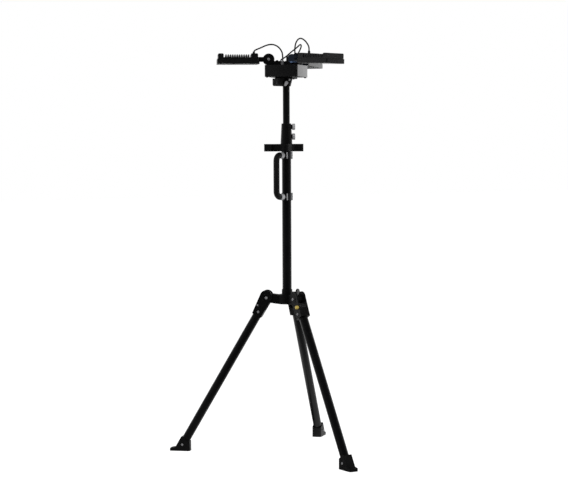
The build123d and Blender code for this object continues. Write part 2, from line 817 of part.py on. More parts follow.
board_bottom = box_bottom + box_wall + board_rise
board_top = board_bottom + board_thickness
with BuildPart() as driver_board:
    with BuildSketch(level(head_turn, board_bottom)):
        Rectangle(board_side, board_side)
    extrude(amount=board_thickness)
    with BuildSketch(level(head_turn, box_bottom + box_wall)):
        with GridLocations(board_side - 2 * board_peg_inset, board_side - 2 * board_peg_inset, 2, 2):
            Circle(board_peg_radius)
    extrude(amount=board_rise)
    with BuildSketch(level(head_turn, board_top)):
        with Locations((-transformer_place, 0)):
            Rectangle(transformer_size[0], transformer_size[1])
    extrude(amount=transformer_size[2])
    with BuildSketch(level(head_turn, board_top)):
        with Locations((capacitor_place, 0)):
            with GridLocations(0, capacitor_spacing, 1, 2):
                Circle(capacitor_radius)
    extrude(amount=capacitor_height)
    with BuildSketch(level(head_turn, board_top)):
        with Locations((0, board_side / 2 - terminal_size[1] / 2)):
            Rectangle(terminal_size[0], terminal_size[1])
    extrude(amount=terminal_size[2])
driver_board.part.label = "driver_board"
export_step(driver_board.part, "parts/driver_board.step")

with BuildPart() as cable_glands:
    for azimuth in gland_azimuths.values():
        seat = Plane(heading(azimuth) * gland_ring + Vector(0, 0, lid_top))
        with BuildSketch(seat):
            RegularPolygon(gland_nut_radius, 6)
        extrude(amount=gland_nut_height)
        add_disc(seat, gland_radius, gland_height)
        add_disc(turned_over(seat), gland_stem_radius, gland_stem_length)
cable_glands.part.label = "cable_glands"
export_step(cable_glands.part, "parts/cable_glands.step")

with BuildPart() as inlet_gland:
    seat = facing(inlet_azimuth, box_side / 2, box_bottom + box_height / 2)
    with BuildSketch(seat):
        RegularPolygon(inlet_nut_radius, 6)
    extrude(amount=inlet_nut_length)
    add_disc(seat, inlet_dome_radius, inlet_length)
    add_disc(turned_over(seat), inlet_stem_radius, inlet_stem_length)
    add_bore(seat, inlet_bore_radius, inlet_length)
inlet_gland.part.label = "inlet_gland"
export_step(inlet_gland.part, "parts/inlet_gland.step")

# Tilt forks on the lid, and the bolts through them
with BuildPart() as tilt_forks:
    for azimuth in head_azimuths.values():
        seat = upright(azimuth, fork_base_start, lid_top)
        with BuildSketch(seat):
            Rectangle(fork_base_length, fork_base_height, align=(Align.MIN, Align.MIN))
        extrude(amount=fork_base_width / 2, both=True)
        for start in (fork_inside, -fork_outside):
            with BuildSketch(seat.offset(start)):
                Rectangle(
                    tilt_radius - fork_base_start, fork_base_height, align=(Align.MIN, Align.MIN)
                )
                with Locations((tilt_radius - fork_base_start, tilt_height)):
                    Circle(fork_radius)
            extrude(amount=fork_cheek)
        add_bore(upright(azimuth, tilt_radius, tilt_level), tilt_bolt_radius + snug, fork_outside)
        with BuildSketch(level(azimuth, lid_top)):
            with Locations((fork_base_start + fork_screw_place, 0)):
                with GridLocations(0, 2 * fork_screw_sides, 1, 2):
                    Circle(small_screw_radius + snug)
        extrude(amount=fork_base_height, mode=Mode.SUBTRACT)
tilt_forks.part.label = "tilt_forks"
export_step(tilt_forks.part, "parts/tilt_forks.step")

with BuildPart() as tilt_bolts:
    for azimuth in head_azimuths.values():
        hinge = upright(azimuth, tilt_radius, tilt_level)
        add_disc(hinge.offset(-fork_outside), tilt_bolt_radius, 2 * fork_outside + tilt_bolt_stub)
        add_disc(
            turned_over(hinge.offset(-fork_outside)), tilt_bolt_head_radius, bolt_head_height, bolt_head_taper
        )
tilt_bolts.part.label = "tilt_bolts"
export_step(tilt_bolts.part, "parts/tilt_bolts.step")

# Small screws of the head frame: box floor to lid posts, forks to lid, socket to box, clamp block, eye
with BuildPart() as head_screws:
    floor_plane = level(head_turn, box_bottom)
    for along in (-post_place, post_place):
        for sideways in (-post_place, post_place):
            add_screw(turned_over(moved(floor_plane, along, sideways)), box_height - lid_thickness)
    for azimuth in head_azimuths.values():
        for sideways in (-fork_screw_sides, fork_screw_sides):
            base = level(azimuth, lid_top + fork_base_height)
            add_screw(
                moved(base, fork_base_start + fork_screw_place, sideways), fork_base_height + lid_thickness
            )
    for azimuth in socket_screw_azimuths:
        place = moved(level(azimuth, socket_ceiling), socket_screw_ring)
        add_screw(turned_over(place), socket_flange + box_wall)
    for sideways in (-clamp_block_bolt_spacing / 2, clamp_block_bolt_spacing / 2):
        face = facing(clamp_block_azimuth, clamp_block_reach, socket_ceiling)
        add_screw(moved(face, sideways, -clamp_block_bolt_drop), clamp_block_screw_length)
    add_screw(facing(eye_azimuth, eye_reach, eye_level), eye_screw_length)
head_screws.part.label = "head_screws"
export_step(head_screws.part, "parts/head_screws.step")

# Lamp heads: arm, bezel, glass, LED board, heat sink and tilt knob
sink_blocks = [(sink_start, sink_inner_block), (sink_end - sink_outer_block, sink_outer_block)]
fin_start = sink_start + sink_inner_block
fin_room = sink_end - sink_outer_block - fin_start
fin_count = int((fin_room - fin_thickness) // fin_pitch)
fin_step = fin_room / (fin_count + 1)
for side, azimuth in head_azimuths.items():
    lamp = lamp_side(side)
    underside = lamp_deck(side, -bezel_below_tilt)
    deck = lamp_deck(side, bezel_top)
    with BuildPart() as lamp_arm:
        with BuildSketch(lamp):
            Circle(tongue_radius)
            Rectangle(arm_reach, neck_height, align=(Align.MIN, Align.CENTER))
        extrude(amount=tongue_width / 2, both=True)
        with BuildSketch(lamp):
            with Locations((arm_reach, -bezel_below_tilt)):
                Rectangle(arm_flange_thickness, bezel_height, align=(Align.MAX, Align.MIN))
        extrude(amount=arm_flange_width / 2, both=True)
        add_bore(lamp, tilt_bolt_radius + running, tongue_width)
    lamp_arm.part.label = f"lamp_arm_{side}"
    export_step(lamp_arm.part, f"parts/lamp_arm_{side}.step")

    with BuildPart() as bezel:
        with BuildSketch(underside):
            with Locations((lamp_middle, 0)):
                RectangleRounded(lamp_length, bezel_width, bezel_corner_radius)
                Rectangle(window_length, window_width, mode=Mode.SUBTRACT)
        extrude(amount=bezel_height)
        with BuildSketch(underside):
            with Locations((lamp_middle, 0)):
                Rectangle(window_length + 2 * glass_lap, window_width + 2 * glass_lap)
        extrude(amount=glass_thickness + glass_room, mode=Mode.SUBTRACT)
    bezel.part.label = f"bezel_{side}"
    export_step(bezel.part, f"parts/bezel_{side}.step")

    with BuildPart() as lamp_glass:
        with BuildSketch(underside.offset(glass_room)):
            with Locations((lamp_middle, 0)):
                Rectangle(
                    window_length + 2 * glass_lap - 2 * glass_room,
                    window_width + 2 * glass_lap - 2 * glass_room,
                )
        extrude(amount=glass_thickness)
    lamp_glass.part.label = f"lamp_glass_{side}"
    export_step(lamp_glass.part, f"parts/lamp_glass_{side}.step")

    with BuildPart() as led_board:
        with BuildSketch(deck):
            with Locations((lamp_middle, 0)):
                Rectangle(window_length - 2 * glass_room, window_width - 2 * glass_room)
        extrude(amount=-led_board_thickness)
        with BuildSketch(deck.offset(-led_board_thickness)):
            with Locations((lamp_middle, 0)):
                with GridLocations(led_pitch, led_pitch, led_columns, led_rows):
                    Rectangle(led_side, led_side)
        extrude(amount=-led_height)
    led_board.part.label = f"led_board_{side}"
    export_step(led_board.part, f"parts/led_board_{side}.step")

    with BuildPart() as heat_sink:
        with BuildSketch(lamp):
            with Locations((sink_start, bezel_top)):
                Rectangle(sink_end - sink_start, sink_base, align=(Align.MIN, Align.MIN))
            for fin in range(1, fin_count + 1):
                low = fin > fin_count - low_fin_count
                with Locations((fin_start + fin * fin_step, bezel_top)):
                    Rectangle(
                        fin_thickness,
                        sink_base + (low_fin_height if low else fin_height),
                        align=(Align.CENTER, Align.MIN),
                    )
        extrude(amount=sink_width / 2, both=True)
        for start, length in sink_blocks:
            with BuildSketch(lamp) as block:
                with Locations((start, bezel_top)):
                    Rectangle(length, sink_base + sink_block_height, align=(Align.MIN, Align.MIN))
                fillet(block.vertices().group_by(Axis.Y)[-1], sink_block_round)
            extrude(amount=sink_width / 2, both=True)
        boss = Plane(cable_foot(side))
        add_disc(boss.offset(-cable_boss_height), cable_boss_radius, 2 * cable_boss_height)
    heat_sink.part.label = f"heat_sink_{side}"
    export_step(heat_sink.part, f"parts/heat_sink_{side}.step")

    with BuildPart() as tilt_knob:
        knob_face = upright(azimuth, tilt_radius, tilt_level).offset(fork_outside + gap)
        with BuildSketch(knob_face):
            Circle(tilt_knob_radius)
            with PolarLocations(tilt_knob_radius + tilt_knob_notch_radius / 2, tilt_knob_lobes):
                Circle(tilt_knob_notch_radius, mode=Mode.SUBTRACT)
        extrude(amount=tilt_knob_length)
        add_bore(knob_face, tilt_bolt_radius + running, tilt_bolt_stub)
    tilt_knob.part.label = f"tilt_knob_{side}"
    export_step(tilt_knob.part, f"parts/tilt_knob_{side}.step")

# Lamp cables: straight runs joined by arcs as large as the runs allow
arc_share = 0.45
for side in head_azimuths:
    start = heading(gland_azimuths[side]) * gland_ring + Vector(0, 0, lid_top)
    foot_point = cable_foot(side)
    end = Vector(foot_point.X, foot_point.Y, lid_top)
    span = (end - start).length
    route_plane = Plane(start, x_dir=(end - start).normalized(), z_dir=(end - start).cross(Vector(0, 0, 1)))
    corners = [
        (0, gland_height),
        (0, cable_rise[side]),
        *cable_routes[side],
        (span, cable_drop[side]),
        (span, foot_point.Z + cable_boss_height - lid_top),
    ]
    points = [Vector(along, up) for along, up in corners]
    radii = []
    for before, here, after in zip(points, points[1:], points[2:]):
        run_in, run_out = here - before, after - here
        half_turn = radians(run_in.get_angle(run_out)) / 2
        radii.append(arc_share * min(run_in.length, run_out.length) / tan(half_turn))
    with BuildPart() as lamp_cable:
        with BuildLine(route_plane) as route:
            FilletPolyline(*corners, radius=radii)
        with BuildSketch(Plane(route.line @ 0, z_dir=route.line % 0)):
            Circle(cable_diameter / 2)
        sweep(path=route.line)
    lamp_cable.part.label = f"lamp_cable_{side}"
    export_step(lamp_cable.part, f"parts/lamp_cable_{side}.step")
    cable_length = sum(edge.length for edge in route.line.edges())
    share = lamp_cable.part.volume / (pi * cable_diameter**2 / 4 * cable_length)
    print(f"lamp_cable_{side}: length {cable_length:.1f}, radii {[round(radius, 1) for radius in radii]}")
    print(f"lamp_cable_{side}: volume over section times length {share:.4f}")
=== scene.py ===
"""Looks of a three-headed LED flood light on a folding tripod.

Metres, +Z up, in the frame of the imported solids: the origin lies on the floor, on the mast's axis, and the
front leg points along -Y. Azimuths are degrees anticlockwise from +X, seen from above.
"""

import json
import logging
import math
from collections.abc import Iterator, Mapping, Sequence
from dataclasses import dataclass, field, replace
from enum import Enum

import bmesh
import bpy
import numpy as np
from mathutils import Matrix, Quaternion, Vector

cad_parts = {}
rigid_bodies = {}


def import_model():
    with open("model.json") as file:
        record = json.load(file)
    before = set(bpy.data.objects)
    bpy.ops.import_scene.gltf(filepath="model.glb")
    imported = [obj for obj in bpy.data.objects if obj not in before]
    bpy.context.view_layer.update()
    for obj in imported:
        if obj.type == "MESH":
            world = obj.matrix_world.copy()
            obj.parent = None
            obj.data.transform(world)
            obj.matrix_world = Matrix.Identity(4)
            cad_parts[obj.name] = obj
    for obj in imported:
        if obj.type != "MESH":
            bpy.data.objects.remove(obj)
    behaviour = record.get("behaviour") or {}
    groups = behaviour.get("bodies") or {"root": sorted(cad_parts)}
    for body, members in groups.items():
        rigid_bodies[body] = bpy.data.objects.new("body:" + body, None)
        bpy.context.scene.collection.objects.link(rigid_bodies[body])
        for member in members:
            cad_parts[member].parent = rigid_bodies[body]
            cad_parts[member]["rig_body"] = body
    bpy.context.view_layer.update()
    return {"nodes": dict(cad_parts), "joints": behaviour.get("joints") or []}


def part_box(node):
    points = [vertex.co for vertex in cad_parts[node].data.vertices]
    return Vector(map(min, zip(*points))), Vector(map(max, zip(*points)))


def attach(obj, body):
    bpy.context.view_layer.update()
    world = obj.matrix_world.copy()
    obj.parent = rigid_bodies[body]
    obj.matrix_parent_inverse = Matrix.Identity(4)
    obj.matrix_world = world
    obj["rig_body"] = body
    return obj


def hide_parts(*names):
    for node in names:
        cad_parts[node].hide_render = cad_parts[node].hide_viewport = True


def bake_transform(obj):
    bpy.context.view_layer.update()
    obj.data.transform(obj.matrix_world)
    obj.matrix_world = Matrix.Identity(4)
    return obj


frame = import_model()
log = logging.getLogger("flood_light")

Point = tuple[float, float]
Triple = tuple[float, float, float]
Colour = Triple
Seat = tuple[Vector, Vector, Vector]

UP = Vector((0.0, 0.0, 1.0))
IMAGE_WIDTH = 568
MERGE_DISTANCE = 1e-6
FLAT_ANGLE = math.radians(0.5)
SHARP_ANGLE = math.radians(32)
EDGE_STEP: Point = (0.01, 0.25)
EDGE_SAMPLES = 4
NOISE_MEAN = 0.5
LEVEL_LIMIT = 0.9
AREA_TOLERANCE = 0.05
TUBE_SEGMENTS = 96
CAP_SEGMENTS = 32
CAP_PROFILE: tuple[Point, ...] = ((0.0, 0.0), (1.0, 0.0), (1.0, 0.4), (0.8, 0.8), (0.4, 1.0), (0.0, 1.0))
BLACK: Colour = (0.0022, 0.0022, 0.0024)
SOFT_BLACK: Colour = (0.003, 0.003, 0.0032)
WHITE: Colour = (1.0, 1.0, 1.0)
PLACES = ("upper", "lower")


class Side(Enum):
    """The three sides that legs and lamp heads are named for."""

    FRONT = "front"
    LEFT = "left"
    RIGHT = "right"


class Streak(Enum):
    """How the marks of brushing run on metal, as the scale of a noise along each axis."""

    AROUND_MAST = (30.0, 30.0, 5200.0)
    UPRIGHT = (2600.0, 2600.0, 25.0)
    EVEN = (900.0, 900.0, 900.0)


class Socket:
    """A node's output that takes part in Python arithmetic."""

    def __init__(self, graph: "Graph", link: bpy.types.NodeSocket | None) -> None:
        """Wraps one output of a node.

        Args:
            graph: The graph that holds the node.
            link: The output, or None on a node that has none.
        """
        self.graph = graph
        self.link = link

    def _math(self, operation: str, first: "Plug", second: "Plug") -> "Socket":
        """A Math node on two values."""
        return self.graph.node("ShaderNodeMath", {"operation": operation}, {0: first, 1: second})

    def __add__(self, other: "Plug") -> "Socket":
        """This value plus another."""
        return self._math("ADD", self, other)

    def __radd__(self, other: "Plug") -> "Socket":
        """Another value plus this one."""
        return self._math("ADD", other, self)

    def __sub__(self, other: "Plug") -> "Socket":
        """This value less another."""
        return self._math("SUBTRACT", self, other)

    def __rsub__(self, other: "Plug") -> "Socket":
        """Another value less this one."""
        return self._math("SUBTRACT", other, self)

    def __mul__(self, other: "Plug") -> "Socket":
        """This value times another."""
        return self._math("MULTIPLY", self, other)

    def __rmul__(self, other: "Plug") -> "Socket":
        """Another value times this one."""
        return self._math("MULTIPLY", other, self)

    def highest(self, other: "Plug") -> "Socket":
        """The larger of this value and another."""
        return self._math("MAXIMUM", self, other)

    def step(self, low: float, high: float) -> "Socket":
        """A smooth step of this value, 0 up to the low limit and 1 from the high one."""
        limits = {"Value": self, "From Min": low, "From Max": high}
        return self.graph.node("ShaderNodeMapRange", {"interpolation_type": "SMOOTHSTEP"}, limits)


Plug = Socket | float | Sequence[float] | bpy.types.ID


class Graph:
    """A node tree that is filled by calls."""

    def __init__(self, tree: bpy.types.NodeTree) -> None:
        """Empties a tree, which is a material's, a world's or a geometry tree."""
        self.tree = tree
        tree.nodes.clear()

    def node(
        self,
        kind: str,
        settings: Mapping[str, object] | None = None,
        inputs: Mapping[str | int, Plug] | None = None,
        output: str | int = 0,
    ) -> Socket:
        """Adds a node.

        Args:
            kind: The node's type.
            settings: Its own settings, which are set first.
            inputs: Values or links of its inputs, by name or place.
            output: The output that is asked for.

        Returns:
            That output.
        """
        made = self.tree.nodes.new(kind)
        for name, value in (settings or {}).items():
            setattr(made, name, value)
        for name, value in (inputs or {}).items():
            if isinstance(value, Socket):
                self.tree.links.new(value.link, made.inputs[name])
            else:
                made.inputs[name].default_value = value
        return Socket(self, made.outputs[output] if made.outputs else None)

    def place(self) -> Socket:
        """Object coordinates, in metres."""
        return self.node("ShaderNodeTexCoord", output="Object")

    def noise(self, scale: float, detail: float = 2.0, stretch: Sequence[float] | None = None) -> Socket:
        """A noise over the surface.

        Args:
            scale: Bumps for each metre.
            detail: How many finer layers it has.
            stretch: Its scale along each axis, where it isn't even.

        Returns:
            The noise, from 0 to 1.
        """
        where = self.place()
        if stretch is not None:
            where = self.node("ShaderNodeMapping", {}, {"Vector": where, "Scale": stretch})
        return self.node("ShaderNodeTexNoise", {}, {"Vector": where, "Scale": scale, "Detail": detail}, "Fac")

    def mix(self, factor: Plug, first: Plug, second: Plug) -> Socket:
        """Two colours mixed by a factor."""
        return self.node("ShaderNodeMix", {"data_type": "RGBA"}, {0: factor, 6: first, 7: second}, 2)

    def dot(self, first: Plug, second: Plug) -> Socket:
        """The dot product of two vectors."""
        return self.node("ShaderNodeVectorMath", {"operation": "DOT_PRODUCT"}, {0: first, 1: second}, "Value")

    def bump(self, height: Socket, strength: float, depth: float) -> Socket:
        """A normal that is roughened by a height."""
        inputs = {"Strength": strength, "Distance": depth, "Height": height}
        return self.node("ShaderNodeBump", {}, inputs)

    def edges(self, radius: float) -> Socket:
        """A mask of the piece's edges.

        Args:
            radius: How far the mask reaches from an edge.

        Returns:
            The mask, 1 on a sharp edge and 0 away from it.
        """
        rounded = self.node("ShaderNodeBevel", {"samples": EDGE_SAMPLES}, {"Radius": radius})
        true = self.node("ShaderNodeNewGeometry", output="Normal")
        return (1.0 - self.dot(rounded, true)).step(*EDGE_STEP)

    def ray(self, kind: str) -> Socket:
        """1 on rays of a kind."""
        return self.node("ShaderNodeLightPath", output=f"Is {kind} Ray")

    def straight(self) -> Socket:
        """1 on rays from the camera, also through glass."""
        return self.ray("Camera").highest(self.ray("Transmission"))


def rgba(colour: Colour, gain: float = 1.0) -> tuple[float, float, float, float]:
    """A colour with its alpha, made lighter by a gain."""
    return (colour[0] * gain, colour[1] * gain, colour[2] * gain, 1.0)


@dataclass(frozen=True)
class Finish:
    """A surface finish on one material slot of the record.

    Attributes:
        slot: The record's slot.
        colour: The main colour, linear.
        roughness: The mean roughness.
        metallic: 1 on bare metal.
        coat: Weight of a clear coat.
        coat_roughness: The clear coat's roughness.
        gloss: Level of the reflection on what isn't metal.
        label: What tells it from other finishes on its slot.
    """

    slot: str
    colour: Colour
    roughness: float
    metallic: float = 0.0
    coat: float = 0.0
    coat_roughness: float = 0.2
    gloss: float = 0.25
    label: str = "finish"

    def constants(self) -> dict[str, float]:
        """Values that are the same all over the surface, by the shader's inputs."""
        coat = {"Coat Weight": self.coat, "Coat Roughness": self.coat_roughness}
        return {"Metallic": self.metallic, "Specular IOR Level": self.gloss, **coat}

    def paint(self, graph: Graph) -> dict[str, Plug]:
        """What changes over the surface, by the shader's inputs."""
        raise NotImplementedError

    def material(self) -> bpy.types.Material:
        """Makes the finish's material when it is first asked for.

        Returns:
            The material.
        """
        name = f"{self.slot}_{self.label}"
        found = bpy.data.materials.get(name)
        if found is not None:
            return found
        made = bpy.data.materials.new(name)
        made.use_nodes = True
        graph = Graph(made.node_tree)
        surface = graph.node("ShaderNodeBsdfPrincipled", {}, {**self.constants(), **self.paint(graph)})
        graph.node("ShaderNodeOutputMaterial", {}, {"Surface": surface})
        return made


@dataclass(frozen=True)
class Grained(Finish):
    """Powder coat, moulded plastic or rubber: a fine grain, faint clouds, and edges painted lighter, partly as
    wear and partly as a painted highlight.

    Attributes:
        grain: Bumps of the grain for each metre.
        depth: Height of the grain.
        relief: How strongly the grain turns the normal.
        clouds: How much lighter the clouds are.
        cloud_scale: Clouds for each metre.
        cloud_step: Where a cloud starts and where it is full.
        edge_wear_and_highlight: How much lighter the edges are painted, as wear and as a painted highlight.
        wear_and_highlight_reach: How far the lighter edge reaches from an edge.
        wear_and_highlight_scale: Spots of the lighter edge for each metre.
        wear_and_highlight_step: Where a spot of the lighter edge starts and where it is full.
        swing: How far clouds, grain and rubbing move the roughness.
    """

    grain: float = 1700.0
    depth: float = 0.00005
    relief: float = 0.35
    clouds: float = 1.35
    cloud_scale: float = 24.0
    cloud_step: Point = (0.32, 0.7)
    edge_wear_and_highlight: float = 3.0
    wear_and_highlight_reach: float = 0.0011
    wear_and_highlight_scale: float = 75.0
    wear_and_highlight_step: Point = (0.42, 0.62)
    swing: Triple = (0.16, 0.1, 0.08)

    def paint(self, graph: Graph) -> dict[str, Plug]:
        """A grain in the normal, clouds in the colour, and edges painted lighter, partly as wear and partly as a
        painted highlight.

        Args:
            graph: The material's graph.

        Returns:
            The shader's inputs that change.
        """
        cloud = graph.noise(self.cloud_scale, detail=4.0)
        grain = graph.noise(self.grain, detail=3.0)
        # Painted highlight and wear: the edges are painted lighter, both as worn coating and as the highlight that
        # an edge catches.
        worn_lit_edge = graph.edges(self.wear_and_highlight_reach) * graph.noise(self.wear_and_highlight_scale, detail=4.0).step(*self.wear_and_highlight_step)
        coating = graph.mix(cloud.step(*self.cloud_step), rgba(self.colour), rgba(self.colour, self.clouds))
        by_cloud, by_grain, by_rub = self.swing
        uneven = (cloud - NOISE_MEAN) * by_cloud + (grain - NOISE_MEAN) * by_grain
        return {
            "Base Color": graph.mix(worn_lit_edge, coating, rgba(self.colour, self.edge_wear_and_highlight)),
            "Roughness": self.roughness + uneven - worn_lit_edge * by_rub,
            "Normal": graph.bump(grain, self.relief, self.depth),
        }


@dataclass(frozen=True)
class TwoToneAndPaintedShade(Grained):
    """Moulded plastic that is another colour past a level, as the object stands: the plunger's pin really is
    another colour, while on the knob the two colours are painted light and shade.

    Attributes:
        upper: The colour past the level; on the knob it is a painted shade.
        toward: The direction that the level is counted in.
        level: How far along that direction the other colour starts.
        blur: Half the width of the colours' border.
    """

    upper: Colour = BLACK
    toward: Triple = (0.0, 0.0, 1.0)
    level: float = 1.3680
    blur: float = 0.0004

    def paint(self, graph: Graph) -> dict[str, Plug]:
        """The same grain on both colours.

        Args:
            graph: The material's graph.

        Returns:
            The shader's inputs that change.
        """
        varied = super().paint(graph)
        past = graph.dot(graph.place(), self.toward).step(self.level - self.blur, self.level + self.blur)
        return {**varied, "Base Color": graph.mix(past, varied["Base Color"], rgba(self.upper))}


@dataclass(frozen=True)
class Brushed(Finish):
    """Bare metal with the marks of brushing or turning.

    Attributes:
        streak: How the marks run.
        depth: Depth of the marks.
        relief: How strongly the marks turn the normal.
        dull: How bright the metal is in a mark.
        mark_step: Where a mark ends and where clean metal starts.
        cloud_scale: Dull clouds for each metre.
        swing: How far marks and clouds move the roughness.
    """

    metallic: float = 1.0
    streak: Streak = Streak.EVEN
    depth: float = 0.00003
    relief: float = 0.4
    dull: float = 0.82
    mark_step: Point = (0.3, 0.7)
    cloud_scale: float = 60.0
    swing: Point = (0.22, 0.15)

    def paint(self, graph: Graph) -> dict[str, Plug]:
        """Marks in the roughness, the normal and a little in the colour, and dull clouds.

        Args:
            graph: The material's graph.

        Returns:
            The shader's inputs that change.
        """
        marks = graph.noise(1.0, detail=3.0, stretch=self.streak.value)
        cloud = graph.noise(self.cloud_scale, detail=3.0)
        by_mark, by_cloud = self.swing
        return {
            "Base Color": graph.mix(marks.step(*self.mark_step), rgba(self.colour, self.dull), rgba(self.colour)),
            "Roughness": self.roughness + (marks - NOISE_MEAN) * by_mark + (cloud - NOISE_MEAN) * by_cloud,
            "Normal": graph.bump(marks, self.relief, self.depth),
        }


@dataclass(frozen=True)
class Clear(Finish):
    """Toughened glass with faint smears.

    Attributes:
        index: Refractive index.
        smears: Smears for each metre.
        stretch: The smears' scale along each axis.
        smear_step: Where a smear starts and where it is full.
        swing: How much rougher a smear is.
    """

    index: float = 1.47
    smears: float = 35.0
    stretch: Triple = (1.0, 2.5, 1.0)
    smear_step: Point = (0.45, 0.75)
    swing: float = 0.08

    def constants(self) -> dict[str, float]:
        """Glass lets light through."""
        return {**super().constants(), "Transmission Weight": 1.0, "IOR": self.index}

    def paint(self, graph: Graph) -> dict[str, Plug]:
        """Smears in the roughness."""
        smear = graph.noise(self.smears, detail=4.0, stretch=self.stretch).step(*self.smear_step)
        return {"Base Color": rgba(self.colour), "Roughness": self.roughness + smear * self.swing}


@dataclass(frozen=True)
class Laminate(Finish):
    """Circuit board: a lacquer over faint copper tracks.

    Attributes:
        track: Colour over the copper.
        pitch: Tracks for each metre.
        disorder: How uneven the tracks' fields are, up to 1.
        track_step: Where a track ends and where bare board starts.
        depth: Height of the tracks.
        relief: How strongly the tracks turn the normal.
        speckle: Specks of the lacquer for each metre.
        swing: How far the specks move the roughness.
    """

    track: Colour = (0.5, 0.5, 0.5)
    pitch: float = 260.0
    disorder: float = 0.85
    track_step: Point = (0.38, 0.46)
    depth: float = 0.00004
    relief: float = 0.3
    speckle: float = 400.0
    swing: float = 0.12

    def paint(self, graph: Graph) -> dict[str, Plug]:
        """Square fields of tracks, a little raised.

        Args:
            graph: The material's graph.

        Returns:
            The shader's inputs that change.
        """
        settings = {"distance": "CHEBYCHEV", "feature": "F1"}
        inputs = {"Vector": graph.place(), "Scale": self.pitch, "Randomness": self.disorder}
        cells = graph.node("ShaderNodeTexVoronoi", settings, inputs, "Distance")
        board = cells.step(*self.track_step)
        return {
            "Base Color": graph.mix(board, rgba(self.track), rgba(self.colour)),
            "Roughness": self.roughness + (graph.noise(self.speckle) - NOISE_MEAN) * self.swing,
            "Normal": graph.bump(1.0 - board, self.relief, self.depth),
        }


TUBE_COAT = Grained("coated_tube", BLACK, 0.34, depth=0.00003)
# The casting's edges are painted much lighter, mostly as a painted highlight along its edges and partly as wear.
CASTING = Grained("black_casting", BLACK, 0.42, grain=900.0, depth=0.00009, edge_wear_and_highlight=14.0)
NYLON = Grained("black_nylon", SOFT_BLACK, 0.46, grain=2300.0, edge_wear_and_highlight=8.0)
FOOT = Grained("foot_black", SOFT_BLACK, 0.5, grain=1100.0, depth=0.0001, edge_wear_and_highlight=6.0)
GRIP = Grained("handle_grip", (0.0045, 0.0045, 0.0047), 0.45, grain=1500.0, depth=0.00006)
BAND_STEEL = Brushed("band_steel", (0.09, 0.09, 0.095), 0.3, streak=Streak.AROUND_MAST)
BOLT_STEEL = Brushed("bolt_steel", (0.30, 0.30, 0.31), 0.36, metallic=0.35)
BOLT_BLACK = Brushed("bolt_steel", (0.03, 0.03, 0.032), 0.4, metallic=0.3, label="blacked")
THUMB_METAL = Brushed("thumb_metal", (0.40, 0.40, 0.41), 0.42, metallic=0.2, streak=Streak.UPRIGHT)
PLUNGER = TwoToneAndPaintedShade(
    "plunger_yellow",
    (0.36, 0.27, 0.055),
    0.33,
    gloss=0.5,
    clouds=1.1,
    edge_wear_and_highlight=1.4,
    upper=(0.02, 0.02, 0.021),
    level=-0.0186,
)
BOX_COAT = Grained("box_coating", SOFT_BLACK, 0.27, coat=1.0, grain=1300.0, edge_wear_and_highlight=8.0)
FORK_COAT = Grained("fork_coating", BLACK, 0.36, edge_wear_and_highlight=8.0)
ARM_COAT = Grained("arm_coating", BLACK, 0.38, edge_wear_and_highlight=8.0)
# Painted light and shade: the knob's lower part is painted a lit blue, and its part above the level is painted
# dark navy as its shade.
KNOB = TwoToneAndPaintedShade(
    "knob_blue",
    (0.050, 0.077, 0.138),
    0.34,
    gloss=0.4,
    clouds=1.15,
    edge_wear_and_highlight=1.5,
    depth=0.00003,
    upper=(0.0022, 0.005, 0.011),
)
SINK = Grained("sink_black", SOFT_BLACK, 0.36, coat=1.0, grain=2600.0, depth=0.00003, edge_wear_and_highlight=6.0)
BEZEL = Grained("bezel_black", SOFT_BLACK, 0.33, coat=1.0, grain=2000.0, depth=0.00003, edge_wear_and_highlight=6.0)
GLASS = Clear("lamp_glass", (0.96, 0.98, 0.97), 0.02, gloss=0.5)
LED_BOARD = Laminate("led_board", (0.012, 0.012, 0.013), 0.4, track=(0.018, 0.018, 0.019))
PHOSPHOR = Grained("led_board", (0.62, 0.52, 0.2), 0.5, label="phosphor", clouds=1.1, edge_wear_and_highlight=1.1)
LENS = Clear("lamp_glass", (0.98, 0.98, 0.96), 0.04, gloss=0.5, label="lens", index=1.41)
CIRCUIT = Laminate("circuit_board", (0.02, 0.12, 0.045), 0.35, gloss=0.5, track=(0.04, 0.2, 0.08))
GLAND = Grained("gland_grey", (0.07, 0.07, 0.073), 0.4, clouds=1.1, edge_wear_and_highlight=1.5)
LEVER = Brushed("lever_grey", (0.3, 0.3, 0.31), 0.4, metallic=0.2, streak=Streak.UPRIGHT)
JACKET = Grained("cable_jacket", (0.006, 0.006, 0.0062), 0.42, grain=3000.0, depth=0.00003, edge_wear_and_highlight=1.2)


def add_object(name: str, data: bpy.types.ID) -> bpy.types.Object:
    """Adds an object at the origin.

    Args:
        name: The object's name.
        data: What it shows: a mesh, a curve, a camera or a light.

    Returns:
        The object.
    """
    made = bpy.data.objects.new(name, data)
    bpy.context.scene.collection.objects.link(made)
    return made


def settled(source: bpy.types.Object, name: str) -> bpy.types.Mesh:
    """A plain mesh of an object with its modifiers.

    Args:
        source: The object, which is removed.
        name: The mesh's name.

    Returns:
        The mesh.
    """
    graph = bpy.context.evaluated_depsgraph_get()
    mesh = bpy.data.meshes.new_from_object(source.evaluated_get(graph), depsgraph=graph)
    mesh.name = name
    bpy.data.objects.remove(source)
    return mesh


def add_piece(name: str, mesh: bpy.types.Mesh, finish: Finish, body: str, nodes: Sequence[str] = ()) -> None:
    """Adds a finished piece.

    Args:
        name: The piece's name.
        mesh: Its mesh, in the shared frame.
        finish: Its finish.
        body: The body that it moves with.
        nodes: The solids that it stands for.
    """
    piece = add_object(name, mesh)
    mesh.materials.clear()
    mesh.materials.append(finish.material())
    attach(piece, body)
    if nodes:
        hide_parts(*nodes)
    log.info("%s on %s: %d faces", name, body, len(mesh.polygons))


def body_of(node: str) -> str:
    """The body that a solid moves with."""
    return frame["nodes"][node]["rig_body"]


